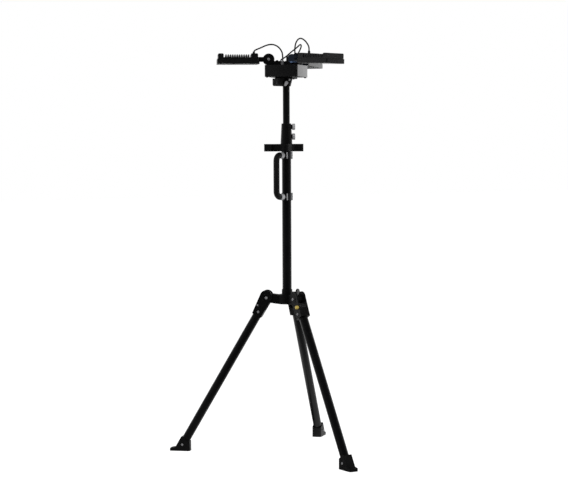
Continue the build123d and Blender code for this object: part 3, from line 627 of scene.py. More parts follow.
def dress(node: str, finish: Finish) -> None:
    """Puts a finish on a solid that keeps its own shape.

    Args:
        node: The solid.
        finish: The finish.
    """
    for held in frame["nodes"][node].material_slots:
        held.material = finish.material()
    log.info("%s dressed", node)


def joined(node: str) -> bmesh.types.BMesh:
    """A solid's mesh with its triangles joined at their corners.

    Args:
        node: The solid.

    Returns:
        The shape, which the caller frees.
    """
    shape = bmesh.new()
    shape.from_mesh(frame["nodes"][node].data)
    bmesh.ops.remove_doubles(shape, verts=shape.verts, dist=MERGE_DISTANCE)
    return shape


def whole_faced(node: str) -> bmesh.types.BMesh:
    """A solid's mesh with each flat face in one piece.

    Args:
        node: The solid.

    Returns:
        The shape, which the caller frees.
    """
    shape = joined(node)
    bmesh.ops.dissolve_limit(shape, angle_limit=FLAT_ANGLE, verts=shape.verts, edges=shape.edges)
    return shape


def level_faces(shape: bmesh.types.BMesh, area: float, way: int) -> list[bmesh.types.BMFace]:
    """The level faces of one area on a shape.

    Args:
        shape: The shape.
        area: The faces' area.
        way: 1 for those that look up and -1 for those that look down.

    Returns:
        The faces.
    """
    level = (face for face in shape.faces if face.normal.z * way > LEVEL_LIMIT)
    return [face for face in level if abs(face.calc_area() - area) < AREA_TOLERANCE * area]


def smooth_mesh(name: str, shape: bmesh.types.BMesh, sharp: float = SHARP_ANGLE) -> bpy.types.Mesh:
    """A mesh of a shape, smooth between its sharp edges.

    Args:
        name: The mesh's name.
        shape: The shape, which is freed.
        sharp: The angle past which an edge is sharp.

    Returns:
        The mesh.
    """
    mesh = bpy.data.meshes.new(name)
    shape.to_mesh(mesh)
    shape.free()
    mesh.shade_smooth()
    mesh.set_sharp_from_angle(angle=sharp)
    return mesh


def loft(
    name: str, rings: Sequence[Sequence[Sequence[float]]], capped: bool = True, sharp: float = SHARP_ANGLE
) -> bpy.types.Mesh:
    """A skin over rings that have the same number of corners.

    Args:
        name: The mesh's name.
        rings: The corners of each ring, from end to end.
        capped: Whether the first and the last ring are closed.
        sharp: The angle past which an edge is sharp.

    Returns:
        The mesh, with its normals outward.
    """
    shape = bmesh.new()
    made = [[shape.verts.new(corner) for corner in ring] for ring in rings]
    for low, high in zip(made, made[1:]):
        for here in range(len(low)):
            there = (here + 1) % len(low)
            shape.faces.new((low[here], low[there], high[there], high[here]))
    if capped:
        shape.faces.new(made[0])
        shape.faces.new(made[-1])
    bmesh.ops.remove_doubles(shape, verts=shape.verts, dist=MERGE_DISTANCE)
    bmesh.ops.recalc_face_normals(shape, faces=shape.faces)
    return smooth_mesh(name, shape, sharp)


def circle(radius: float, height: float, segments: int) -> list[Vector]:
    """The corners of a level ring round the upright axis."""
    angles = (2 * math.pi * step / segments for step in range(segments))
    return [Vector((radius * math.cos(angle), radius * math.sin(angle), height)) for angle in angles]


def lathe(
    name: str, profile: Sequence[Point], origin: Vector, axis: Vector, segments: int = TUBE_SEGMENTS
) -> bpy.types.Mesh:
    """A turned shape.

    Args:
        name: The mesh's name.
        profile: Radii and places along the axis, from end to end; a closed ring has its first point last.
        origin: Where the places are counted from.
        axis: The direction of turning.
        segments: Flats round the axis.

    Returns:
        The mesh, with its normals outward.
    """
    turn = UP.rotation_difference(axis.normalized()).to_matrix().to_4x4()
    place = Matrix.Translation(origin) @ turn
    rings = [[place @ corner for corner in circle(radius, along, segments)] for radius, along in profile]
    return loft(name, rings, capped=False)


def tube_profile(outside: float, inside: float, length: float, rounding: float) -> list[Point]:
    """The wall of a tube with rounded ends, as a closed ring for a lathe.

    Args:
        outside: The outer radius.
        inside: The inner radius.
        length: The tube's length.
        rounding: How far the outer edges are rounded.

    Returns:
        Radii and places along the tube.
    """
    foot = [(inside, 0.0), (outside - rounding, 0.0), (outside, rounding)]
    head = [(outside, length - rounding), (outside - rounding, length), (inside, length)]
    return [*foot, *head, foot[0]]


def add_cap(name: str, size: Point, place: Vector, outward: Vector, finish: Finish, body: str) -> None:
    """Adds a low domed cap.

    Args:
        name: The piece's name.
        size: Its radius and height.
        place: The middle of its foot.
        outward: The direction that it looks in.
        finish: Its finish.
        body: The body that it moves with.
    """
    radius, height = size
    profile = [(radius * wide, height * high) for wide, high in CAP_PROFILE]
    add_piece(name, lathe(name, profile, place, outward, CAP_SEGMENTS), finish, body)


def merged(name: str, meshes: Sequence[bpy.types.Mesh]) -> bpy.types.Mesh:
    """One mesh of several.

    Args:
        name: The mesh's name.
        meshes: The meshes, which are removed.

    Returns:
        The mesh.
    """
    whole = bmesh.new()
    for part in meshes:
        whole.from_mesh(part)
        bpy.data.meshes.remove(part)
    mesh = bpy.data.meshes.new(name)
    whole.to_mesh(mesh)
    whole.free()
    return mesh


@dataclass(frozen=True)
class Shell:
    """A solid that is shown with rounded edges.

    Attributes:
        node: The solid's name, without its side.
        finish: Its finish.
        radius: How far the rounding reaches from an edge.
        segments: Steps of the rounding.
    """

    node: str
    finish: Finish
    radius: float
    segments: int = 2

    def build(self, side: Side | None = None) -> None:
        """Makes a copy of the solid with rounded edges, which stands for it.

        Args:
            side: The side that the solid's name ends with, where there are three of it.
        """
        node = f"{self.node}_{side.value}" if side else self.node
        piece = add_object(f"{node}_sharp", smooth_mesh(node, whole_faced(node)))
        rounding = piece.modifiers.new("rounding", "BEVEL")
        rounding.width = self.radius
        rounding.segments = self.segments
        rounding.limit_method = "ANGLE"
        rounding.angle_limit = SHARP_ANGLE
        rounding.harden_normals = True
        add_piece(f"{node}_shell", settled(piece, node), self.finish, body_of(node), [node])


def heading(azimuth: float, radius: float, height: float) -> Vector:
    """The point at an azimuth, a distance from the mast and a height."""
    turn = math.radians(azimuth)
    return Vector((radius * math.cos(turn), radius * math.sin(turn), height))


def joint(name: str) -> dict:
    """A joint of the record."""
    return next(found for found in frame["joints"] if found["name"] == name)


def azimuth_of(name: str) -> float:
    """The azimuth of a joint's place, from the mast."""
    x, y, _ = joint(name)["pos_m"]
    return math.degrees(math.atan2(y, x))


class Scatter:
    """Geometry nodes that put a shape on points, each with its own axis and size."""

    def __init__(self) -> None:
        """Builds the tree: its inputs are the points, the shape, its direction and the finish's material."""
        self.tree = bpy.data.node_groups.new("scatter", "GeometryNodeTree")
        interface = self.tree.interface
        kinds = {"Points": "Geometry", "Shape": "Object", "Across": "Vector", "Material": "Material"}
        self.inputs = {
            name: interface.new_socket(name, in_out="INPUT", socket_type=f"NodeSocket{kind}").identifier
            for name, kind in kinds.items()
        }
        interface.new_socket("Pieces", in_out="OUTPUT", socket_type="NodeSocketGeometry")
        graph = Graph(self.tree)
        points = graph.node("NodeGroupInput", output="Points")
        given = points.link.node.outputs
        seats = graph.node("GeometryNodeMeshToPoints", {}, {"Mesh": points})
        named = {"data_type": "FLOAT_VECTOR"}
        axis = graph.node("GeometryNodeInputNamedAttribute", named, {"Name": "axis"})
        size = graph.node("GeometryNodeInputNamedAttribute", named, {"Name": "size"})
        upright = graph.node("FunctionNodeAlignRotationToVector", {"axis": "Z"}, {"Vector": axis})
        sideways = {"Rotation": upright, "Vector": Socket(graph, given["Across"])}
        turn = graph.node("FunctionNodeAlignRotationToVector", {"axis": "X", "pivot_axis": "Z"}, sideways)
        sample = {"Object": Socket(graph, given["Shape"]), "As Instance": True}
        made = graph.node("GeometryNodeObjectInfo", {}, sample, "Geometry")
        placed = {"Points": seats, "Instance": made, "Rotation": turn, "Scale": size}
        pieces = graph.node("GeometryNodeInstanceOnPoints", {}, placed)
        whole = graph.node("GeometryNodeRealizeInstances", {}, {"Geometry": pieces})
        finished = {"Geometry": whole, "Material": Socket(graph, given["Material"])}
        graph.node("NodeGroupOutput", {}, {0: graph.node("GeometryNodeSetMaterial", {}, finished)})

    def mesh(
        self,
        name: str,
        shape: bpy.types.Object,
        finish: Finish,
        seats: Sequence[Seat],
        across: Vector = Vector((0.0, 0.0, 0.0)),
    ) -> bpy.types.Mesh:
        """Copies of a shape, as one plain mesh.

        Args:
            name: The mesh's name.
            shape: The shape, of unit size, along +Z.
            finish: Its finish.
            seats: Place, axis and size of each copy.
            across: Where the shape's +X points, which a turned shape doesn't need.

        Returns:
            The mesh.
        """
        points = bpy.data.meshes.new(name)
        points.from_pydata([place for place, _, _ in seats], [], [])
        for label, column in (("axis", 1), ("size", 2)):
            held = points.attributes.new(label, "FLOAT_VECTOR", "POINT")
            held.data.foreach_set("vector", [part for seat in seats for part in seat[column]])
        scattered = add_object(f"{name}_points", points)
        modifier = scattered.modifiers.new("scatter", "NODES")
        modifier.node_group = self.tree
        modifier[self.inputs["Shape"]] = shape
        modifier[self.inputs["Across"]] = tuple(across)
        modifier[self.inputs["Material"]] = finish.material()
        return settled(scattered, name)


@dataclass
class CopiedPieces:
    """Pieces that are copied from unit shapes.

    Attributes:
        scatter: What puts the copies in place.
        units: The unit shapes, until they are cleared.
    """

    scatter: Scatter
    units: list[bpy.types.Object] = field(default_factory=list, init=False)

    def unit(self, mesh: bpy.types.Mesh) -> bpy.types.Object:
        """Adds a unit shape.

        Args:
            mesh: The shape's mesh.

        Returns:
            The shape.
        """
        made = add_object(mesh.name, mesh)
        self.units.append(made)
        return made

    def clear(self) -> None:
        """Removes the unit shapes."""
        while self.units:
            bpy.data.objects.remove(self.units.pop())


@dataclass(frozen=True)
class Shank:
    """One bolt or screw of a solid, read from its mesh.

    Attributes:
        low: The middle of one end.
        high: The middle of the other end.
        low_radius: The widest radius near the first end.
        high_radius: The widest radius near the other end.
    """

    low: Vector
    high: Vector
    low_radius: float
    high_radius: float

    @property
    def axis(self) -> Vector:
        """Unit vector from the low end to the high one."""
        return (self.high - self.low).normalized()


@dataclass
class Fasteners(CopiedPieces):
    """Button-headed bolts and screws with a hexagon socket.

    Attributes:
        head_height: Height of a head.
        head_limit: An end is a head from this share of the bolt's widest radius.
        shank_share: A shank's radius over its head's.
        end_depth: How near an end a head's widest ring lies.
        socket_share: The socket's width over its head's.
        socket_floor: Height of the socket's floor over its head's.
        dome: Radii and heights of a head of unit size.
        corners: Points round a head.
    """

    head_height: float = 0.003
    head_limit: float = 0.9
    shank_share: float = 0.55
    end_depth: float = 0.0035
    socket_share: float = 0.52
    socket_floor: float = 0.3
    dome: tuple[Point, ...] = ((1.0, 0.0), (1.0, 0.28), (0.95, 0.55), (0.84, 0.8), (0.7, 0.95), (0.6, 1.0))
    corners: int = 24

    def __post_init__(self) -> None:
        """Makes the unit shapes that the bolts are copied from."""
        self.head = self.unit(self.unit_head())
        bar = [(0.0, 0.0), (1.0, 0.0), (1.0, 1.0), (0.0, 1.0)]
        self.shank = self.unit(lathe("unit_shank", bar, Vector(), UP, self.corners))

    def unit_head(self) -> bpy.types.Mesh:
        """A domed head of unit radius and height, with a hexagon socket in it.

        Returns:
            The mesh.
        """
        sixth = math.pi / 3
        domed = [circle(radius, height, self.corners) for radius, height in self.dome]
        sunk = [circle(self.socket_share, height, self.corners) for height in (1.0, self.socket_floor)]
        for corner in [*sunk[0], *sunk[1]]:
            off_flat = math.atan2(corner.y, corner.x) % sixth - sixth / 2
            corner.xy = corner.xy * (math.cos(sixth / 2) / math.cos(off_flat))
        return loft("unit_head", [*domed, *sunk])

    def shanks(self, node: str) -> Iterator[Shank]:
        """Finds the bolts of a solid: each of its loose pieces, along its longest direction.

        Args:
            node: The solid.

        Yields:
            The bolts.
        """
        shape = joined(node)
        left = set(shape.verts)
        for seed in shape.verts:
            if seed not in left:
                continue
            left.remove(seed)
            grown = [seed]
            for vert in grown:
                fresh = [edge.other_vert(vert) for edge in vert.link_edges if edge.other_vert(vert) in left]
                left.difference_update(fresh)
                grown.extend(fresh)
            corners = np.array([vert.co for vert in grown])
            middle = (corners.min(0) + corners.max(0)) / 2
            axis = np.linalg.eigh(np.cov((corners - middle).T))[1][:, -1]
            along = (corners - middle) @ axis
            reach = np.linalg.norm(corners - middle - along[:, None] * axis, axis=1)
            yield Shank(
                Vector(middle + axis * along.min()),
                Vector(middle + axis * along.max()),
                float(reach[along < along.min() + self.end_depth].max()),
                float(reach[along > along.max() - self.end_depth].max()),
            )
        shape.free()

    def build(self, node: str, finish: Finish) -> None:
        """Makes the bolts that stand for a solid.

        Args:
            node: The solid.
            finish: The bolts' finish.
        """
        heads, shanks = [], []
        for bolt in self.shanks(node):
            widest = max(bolt.low_radius, bolt.high_radius)
            ends = ((bolt.low, -bolt.axis, bolt.low_radius), (bolt.high, bolt.axis, bolt.high_radius))
            for end, outward, radius in ends:
                if radius > self.head_limit * widest:
                    size = Vector((radius, radius, self.head_height))
                    heads.append((end - outward * self.head_height, outward, size))
            inset = bolt.axis * (self.head_height / 2)
            thick = self.shank_share * widest
            length = (bolt.high - bolt.low).length - self.head_height
            shanks.append((bolt.low + inset, bolt.axis, Vector((thick, thick, length))))
        parts = (("heads", self.head, heads), ("shanks", self.shank, shanks))
        meshes = [self.scatter.mesh(f"{node}_{part}", shape, finish, seats) for part, shape, seats in parts]
        add_piece(f"{node}_set", merged(node, meshes), finish, body_of(node), [node])


@dataclass
class LedArray(CopiedPieces):
    """LEDs on their boards: on each chip a disc of phosphor under a clear lens.

    Attributes:
        chip_side: Side of a chip's square face.
        disc_size: A disc's radius and height.
        lens_size: A lens's radius and height.
        rim: Height of a lens's upright rim over the lens's.
        segments: Points round a disc or a lens.
    """

    chip_side: float = 0.006
    disc_size: Point = (0.0026, 0.0003)
    lens_size: Point = (0.0029, 0.0022)
    rim: float = 0.12
    segments: int = 24

    def __post_init__(self) -> None:
        """Makes the unit shapes that the LEDs are copied from."""
        disc = [(0.0, 0.0), (1.0, 0.0), (1.0, 0.6), (0.93, 1.0), (0.0, 1.0)]
        arc = [math.radians(step) for step in range(0, 91, 10)]
        crown = [(math.cos(turn), self.rim + (1 - self.rim) * math.sin(turn)) for turn in arc]
        self.disc = self.unit(lathe("unit_disc", disc, Vector(), UP, self.segments))
        self.lens = self.unit(lathe("unit_lens", [*disc[:2], *crown], Vector(), UP, self.segments))

    def build(self, node: str) -> None:
        """Makes the LEDs of a board.

        Args:
            node: The board's solid.
        """
        shape = whole_faced(node)
        faces = level_faces(shape, self.chip_side**2, -1)
        chips = [(face.calc_center_median(), face.normal.copy()) for face in faces]
        shape.free()
        parts = (("discs", self.disc, PHOSPHOR, self.disc_size), ("lenses", self.lens, LENS, self.lens_size))
        for part, unit, finish, (radius, height) in parts:
            size = Vector((radius, radius, height))
            seats = [(middle, outward, size) for middle, outward in chips]
            mesh = self.scatter.mesh(f"{node}_{part}", unit, finish, seats)
            add_piece(f"{node}_{part}", mesh, finish, body_of(node))


@dataclass
class SinkFins(CopiedPieces):
    """Cast fins on the heat sinks, thicker at their roots, with low webs between them.

    Attributes:
        crest_size: Thickness and width of a solid's fin.
        fin_size: Width, thickness at the root and height of a cast fin.
        fin_rise: How far the cast fins stand over the solid's.
        crest_share: A fin's thickness at its crest over the root's.
        crest_round: The rounding of the crest, over the root's thickness and the fin's height.
        web_size: Thickness at the root and height of a web.
        web_places: The webs' distances from the lamp's middle line.
    """

    crest_size: Point = (0.002, 0.082)
    fin_size: Triple = (0.0812, 0.0060, 0.0123)
    fin_rise: float = 0.0003
    crest_share: float = 0.7
    crest_round: Point = (0.07, 0.06)
    web_size: Point = (0.0024, 0.0036)
    web_places: Triple = (-0.027, 0.0, 0.027)

    def __post_init__(self) -> None:
        """Makes the unit fin that the others are copied from: tapered, with a rounded crest."""
        half = self.crest_share / 2
        inward, down = self.crest_round
        flank = [(0.5, 0.0), (half, 1 - down), (half - inward, 1.0)]
        edge = [*flank, *((-wide, high) for wide, high in reversed(flank))]
        ends = [[(end, wide, high) for wide, high in edge] for end in (-0.5, 0.5)]
        self.fin = self.unit(loft("unit_fin", ends))

    def build(self, node: str) -> None:
        """Makes the fins over those of a heat sink's solid, and the webs across them.

        Args:
            node: The heat sink's solid.
        """
        shape = whole_faced(node)
        tops = level_faces(shape, self.crest_size[0] * self.crest_size[1], 1)
        up = sum((face.normal for face in tops), Vector()).normalized()
        edge = max(tops[0].edges, key=lambda found: found.calc_length())
        across = (edge.verts[1].co - edge.verts[0].co).normalized()
        along = across.cross(up)
        crests = sorted((face.calc_center_median() for face in tops), key=along.dot)
        shape.free()
        width, root, height = self.fin_size
        level = max(crest.dot(up) for crest in crests) + self.fin_rise - height
        feet = [crest + up * (level - crest.dot(up)) for crest in crests]
        fins = [(foot, up, Vector((width, root, height))) for foot in feet]
        pitch = (feet[-1] - feet[0]) / (len(feet) - 1)
        middle = (feet[0] + feet[-1]) / 2
        thick, tall = self.web_size
        size = Vector((pitch.length * (len(feet) + 1), thick, tall))
        webs = [(middle + across * place, up, size) for place in self.web_places]
        parts = (("fins", fins, across), ("webs", webs, along))
        meshes = [self.scatter.mesh(f"{node}_{part}", self.fin, SINK, seats, way) for part, seats, way in parts]
        add_piece(f"{node}_fins", merged(f"{node}_fins", meshes), SINK, body_of(node))


@dataclass
class LampCable:
    """The cable that loops from its gland on the box to a lamp head.

    The route lies in an upright plane from the gland to the lamp's boss, and its points are given along that
    plane and up from the box's lid.

    Attributes:
        side: The lamp head that it feeds.
        rise: Where the cable leaves the gland's upright line.
        drop: Where it comes to the boss's upright line.
        route: The points between.
        length: Its real length.
        gland_azimuth: The gland's azimuth.
        boss: The distance from the mast and the height of the boss on the heat sink.
        diameter: Its diameter.
        lid: Height of the lid.
        gland_top: Top of the gland, over the lid.
        gland_ring: The gland's distance from the mast.
        resolution: Steps of the cable's line between two points of the route.
        segments: Points round the cable.
        sleeve_height: Height of the sleeve that the cable goes into on the heat sink.
        sleeve_gap: Room between the cable and the sleeve.
        sleeve_foot: Thickness of the sleeve's wall at its foot.
        sleeve_segments: Points round the sleeve.
        ribs: Ribs on the sleeve.
        rib_wall: Thickness of the wall at the first rib.
        rib_taper: How much thinner the wall would be one rib past the last.
        rib_share: Where a rib ends and where its groove is deepest, over the ribs' pitch.
        groove: Depth of the grooves.
    """

    side: Side
    rise: float
    drop: float
    route: tuple[Point, ...]
    length: float
    gland_azimuth: float
    boss: Point
    diameter: float = 0.005
    lid: float = 1.357
    gland_top: float = 0.014
    gland_ring: float = 0.032
    resolution: int = 8
    segments: int = 20
    sleeve_height: float = 0.0055
    sleeve_gap: float = 0.0001
    sleeve_foot: float = 0.0019
    sleeve_segments: int = 32
    ribs: int = 3
    rib_wall: float = 0.0018
    rib_taper: float = 0.0009
    rib_share: Point = (0.6, 0.95)
    groove: float = 0.0006

    def controls(self, azimuth: float) -> list[Vector]:
        """The route's points, from the gland to the boss.

        Args:
            azimuth: The lamp head's azimuth.

        Returns:
            The control points of the cable's line.
        """
        boss_ring, boss_top = self.boss
        start = heading(self.gland_azimuth, self.gland_ring, self.lid)
        end = heading(azimuth, boss_ring, self.lid)
        along = (end - start).normalized()
        span = (end - start).length
        first = [(0.0, self.gland_top), (0.0, self.rise)]
        last = [(span, self.drop), (span, boss_top - self.lid)]
        return [start + along * far + UP * high for far, high in [*first, *self.route, *last]]

    def line(self, controls: Sequence[Vector]) -> list[Vector]:
        """Points along the smooth line that the control points pull.

        Args:
            controls: The control points.

        Returns:
            The points, from the gland to the boss.
        """
        curve = bpy.data.curves.new(f"cable_line_{self.side.value}", "CURVE")
        curve.dimensions = "3D"
        curve.resolution_u = self.resolution
        spline = curve.splines.new("NURBS")
        spline.points.add(len(controls) - 1)
        for held, place in zip(spline.points, controls):
            held.co = (*place, 1.0)
        spline.order_u = 3
        spline.use_endpoint_u = True
        mesh = settled(add_object(curve.name, curve), curve.name)
        points = [vert.co.copy() for vert in mesh.vertices]
        bpy.data.meshes.remove(mesh)
        bpy.data.curves.remove(curve)
        return points

    def tube(self, points: Sequence[Vector]) -> bpy.types.Mesh:
        """A round tube along a line, with closed ends.

        Args:
            points: Points along the line.

        Returns:
            The mesh.
        """
        side = (points[-1] - points[0]).cross(UP).normalized()
        round_cable = circle(self.diameter / 2, 0.0, self.segments)
        ends = [points[0], *points, points[-1]]
        rings = []
        for before, point, after in zip(ends, points, ends[2:]):
            out = side.cross((after - before).normalized()).normalized()
            rings.append([point + side * corner.x + out * corner.y for corner in round_cable])
        return loft(f"lamp_cable_{self.side.value}", rings, sharp=math.pi)

    def sleeve(self, foot: Vector, lamp: str) -> None:
        """Makes the ribbed sleeve that guards the cable where it goes into the heat sink.

        Args:
            foot: Where the cable goes in.
            lamp: The lamp head's body.
        """
        bore = self.diameter / 2 + self.sleeve_gap
        pitch = self.sleeve_height / self.ribs
        rib_end, groove_end = self.rib_share
        profile = [(bore, 0.0), (bore + self.sleeve_foot, 0.0)]
        for rib in range(self.ribs):
            low = rib * pitch
            wall = bore + self.rib_wall - self.rib_taper * rib / self.ribs
            profile += [(wall, low), (wall, low + rib_end * pitch), (wall - self.groove, low + groove_end * pitch)]
        profile += [(bore, self.sleeve_height), (bore, 0.0)]
        name = f"cable_sleeve_{self.side.value}"
        add_piece(name, lathe(name, profile, foot, UP, self.sleeve_segments), JACKET, lamp)

    def build(self) -> None:
        """Makes the cable, which curves from the box to its lamp head."""
        name = f"lamp_cable_{self.side.value}"
        lamp = f"lamp_{self.side.value}"
        controls = self.controls(azimuth_of(f"lamp_tilt_{self.side.value}"))
        points = self.line(controls)
        piece = add_object(f"{name}_jacket", self.tube(points))
        piece.data.materials.append(JACKET.material())
        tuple(controls[0])
        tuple(controls[-1])
        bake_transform(piece)
        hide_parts(name)
        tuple(controls[0])
        log.info("%s_jacket from light_head to %s: %d faces", name, lamp, len(piece.data.polygons))
        self.sleeve(controls[-1], lamp)


LAMP_CABLES = (
    LampCable(
        Side.LEFT,
        rise=0.030,
        drop=0.050,
        route=((0.003, 0.048), (0.017, 0.065), (0.036, 0.0725), (0.057, 0.070), (0.076, 0.0615), (0.094, 0.055)),
        length=0.153,
        gland_azimuth=217.75,
        boss=(0.112, 1.400),
    ),
    LampCable(
        Side.FRONT,
        rise=0.036,
        drop=0.050,
        route=(
            (-0.003, 0.056), (0.003, 0.076), (0.0175, 0.0885), (0.037, 0.093),
            (0.061, 0.087), (0.083, 0.0745), (0.098, 0.060),
        ),
        length=0.1903,
        gland_azimuth=339.6,
        boss=(0.11278, 1.39776),
    ),
    LampCable(
        Side.RIGHT,
        rise=0.021,
        drop=0.047,
        route=(
            (0.010, 0.025), (0.026, 0.0315), (0.042, 0.0405), (0.059, 0.051), (0.081, 0.062), (0.099, 0.0725),
            (0.1075, 0.078), (0.1145, 0.0798), (0.1175, 0.074), (0.1115, 0.063), (0.1035, 0.053),
        ),
        length=0.1786,
        gland_azimuth=94.35,
        boss=(0.11263, 1.39821),
    ),
)


@dataclass
class TripodHub:
    """The casting at the foot of the mast that the legs hinge on.

    Attributes:
        shell: The casting with rounded edges.
    """

    shell: Shell = Shell("hub", CASTING, 0.0011, 3)

    def build(self, fasteners: Fasteners) -> None:
        """Makes the hub and its hinge bolts."""
        self.shell.build()
        fasteners.build("hinge_bolts", BOLT_STEEL)


@dataclass
class TripodLeg:
    """One leg: bracket, tube, foot, bolts and the plunger that locks it.

    Attributes:
        side: Where the leg stands.
        shells: Its pieces with rounded edges.
        knob: The plunger, before it has its side's finish.
        tip_size: Radius and height of the plunger's steel tip.
    """

    side: Side
    shells: tuple[Shell, ...] = (
        Shell("leg_bracket", CASTING, 0.0010, 3),
        Shell("leg_tube", TUBE_COAT, 0.0004),
        Shell("foot", FOOT, 0.0016, 3),
    )
    knob: Shell = Shell("release_plunger", PLUNGER, 0.0008, 3)
    tip_size: Point = (0.0028, 0.0009)

    def build(self, fasteners: Fasteners) -> None:
        """Makes the leg's pieces.

        Args:
            fasteners: What makes its bolts.
        """
        for shell in self.shells:
            shell.build(self.side)
        fasteners.build(f"leg_bolts_{self.side.value}", BOLT_STEEL)
        self.plunger()

    def plunger(self) -> None:
        """Makes the plunger, with its pin in another colour than its knob and a bare steel tip on the pin."""
        side = self.side.value
        node = f"{self.knob.node}_{side}"
        inward = -Vector(joint(f"plunger_pull_{side}")["axis"])
        replace(self.knob, finish=replace(PLUNGER, label=side, toward=tuple(inward))).build(self.side)
        shape = joined(node)
        deepest = max(vert.co.dot(inward) for vert in shape.verts)
        ring = [vert.co for vert in shape.verts if vert.co.dot(inward) > deepest - MERGE_DISTANCE]
        end = sum(ring, Vector()) / len(ring)
        shape.free()
        add_cap(f"plunger_tip_{side}", self.tip_size, end, inward, BOLT_STEEL, body_of(node))


@dataclass
class Mast:
    """Two tubes that slide one in the other, with their clamp and the collar that the folded legs clip in.

    Attributes:
        outer_radius: The outer tube's radius.
        inner_radius: The inner tube's radius.
        wall: The tubes' wall.
        rounding: Rounding of the tubes' ends.
        shells: Its pieces with rounded edges.
    """

    outer_radius: float = 0.016
    inner_radius: float = 0.012
    wall: float = 0.0015
    rounding: float = 0.0005
    shells: tuple[Shell, ...] = (
        Shell("leg_clip_collar", NYLON, 0.0011, 3),
        Shell("clamp_sleeve", CASTING, 0.0007, 3),
        Shell("thumb_screw_upper", THUMB_METAL, 0.0006),
        Shell("thumb_screw_lower", THUMB_METAL, 0.0006),
        Shell("mast_guide_bush", NYLON, 0.0005),
        Shell("inner_tube_bush", NYLON, 0.0005),
        Shell("mast_plug", NYLON, 0.0005),
    )

    def tube(self, node: str, radius: float) -> None:
        """Makes a tube that stands for a solid, smoother than it.

        Args:
            node: The solid.
            radius: The tube's outer radius.
        """
        low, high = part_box(node)
        profile = tube_profile(radius, radius - self.wall, high.z - low.z, self.rounding)
        mesh = lathe(node, profile, UP * low.z, UP)
        add_piece(f"{node}_wall", mesh, TUBE_COAT, body_of(node), [node])

    def build(self) -> None:
        """Makes the mast's pieces."""
        self.tube("mast_outer_tube", self.outer_radius)
        self.tube("mast_inner_tube", self.inner_radius)
        for shell in self.shells:
            shell.build()


@dataclass
class CarryHandle:
    """The grip on the mast, its two steel bands and their screws.

    Attributes:
        shells: Its pieces with rounded edges.
        azimuth: Where the grip is.
        levels: Heights of the upper and the lower band.
        ferrule_radius: The middle of a ferrule's wall.
        ferrule_wall: A ferrule's wall.
        ferrule_rounding: Rounding of a ferrule's ends.
        ferrule_span: Where a ferrule starts and ends, from the mast's axis.
        ferrule_segments: Points round a ferrule.
        band_radius: Where the tongues lie on the bands.
        clip_span: Azimuths of a tongue's two ends.
        clip_steps: Flats along a tongue.
        clip_height: A tongue's height.
        clip_thickness: A tongue's thickness.
    """

    shells: tuple[Shell, ...] = (Shell("carry_handle", GRIP, 0.0010), Shell("handle_bands", BAND_STEEL, 0.0002))
    azimuth: float = 204.5
    levels: Point = (1.0456, 0.9016)
    ferrule_radius: float = 0.0105
    ferrule_wall: float = 0.0010
    ferrule_rounding: float = 0.0003
    ferrule_span: Point = (0.0255, 0.0418)
    ferrule_segments: int = 64
    band_radius: float = 0.01824
    clip_span: Point = (239.0, 251.0)
    clip_steps: int = 8
    clip_height: float = 0.023
    clip_thickness: float = 0.0006

    def ferrules(self) -> None:
        """Makes the bare metal sleeves that the grip's two ends sit in."""
        near, far = self.ferrule_span
        outside, inside = self.ferrule_radius + self.ferrule_wall / 2, self.ferrule_radius - self.ferrule_wall / 2
        profile = tube_profile(outside, inside, far - near, self.ferrule_rounding)
        outward = heading(self.azimuth, 1.0, 0.0)
        for place, level in zip(PLACES, self.levels):
            name = f"handle_ferrule_{place}"
            mesh = lathe(name, profile, heading(self.azimuth, near, level), outward, self.ferrule_segments)
            add_piece(name, mesh, THUMB_METAL, body_of("carry_handle"))

    def clips(self) -> None:
        """Makes the bright tongue that closes each band."""
        first, last = self.clip_span
        azimuths = [first + (last - first) * step / self.clip_steps for step in range(self.clip_steps + 1)]
        inside, outside = self.band_radius, self.band_radius + self.clip_thickness
        half = self.clip_height / 2
        corners = ((inside, -half), (outside, -half), (outside, half), (inside, half))
        for place, level in zip(PLACES, self.levels):
            name = f"band_clip_{place}"
            rings = [[heading(azimuth, far, level + rise) for far, rise in corners] for azimuth in azimuths]
            add_piece(name, loft(name, rings), THUMB_METAL, body_of("handle_bands"))

    def build(self, fasteners: Fasteners) -> None:
        """Makes the handle's pieces.

        Args:
            fasteners: What makes its screws.
        """
        for shell in self.shells:
            shell.build()
        fasteners.build("band_screws", BOLT_STEEL)
        self.ferrules()
        self.clips()


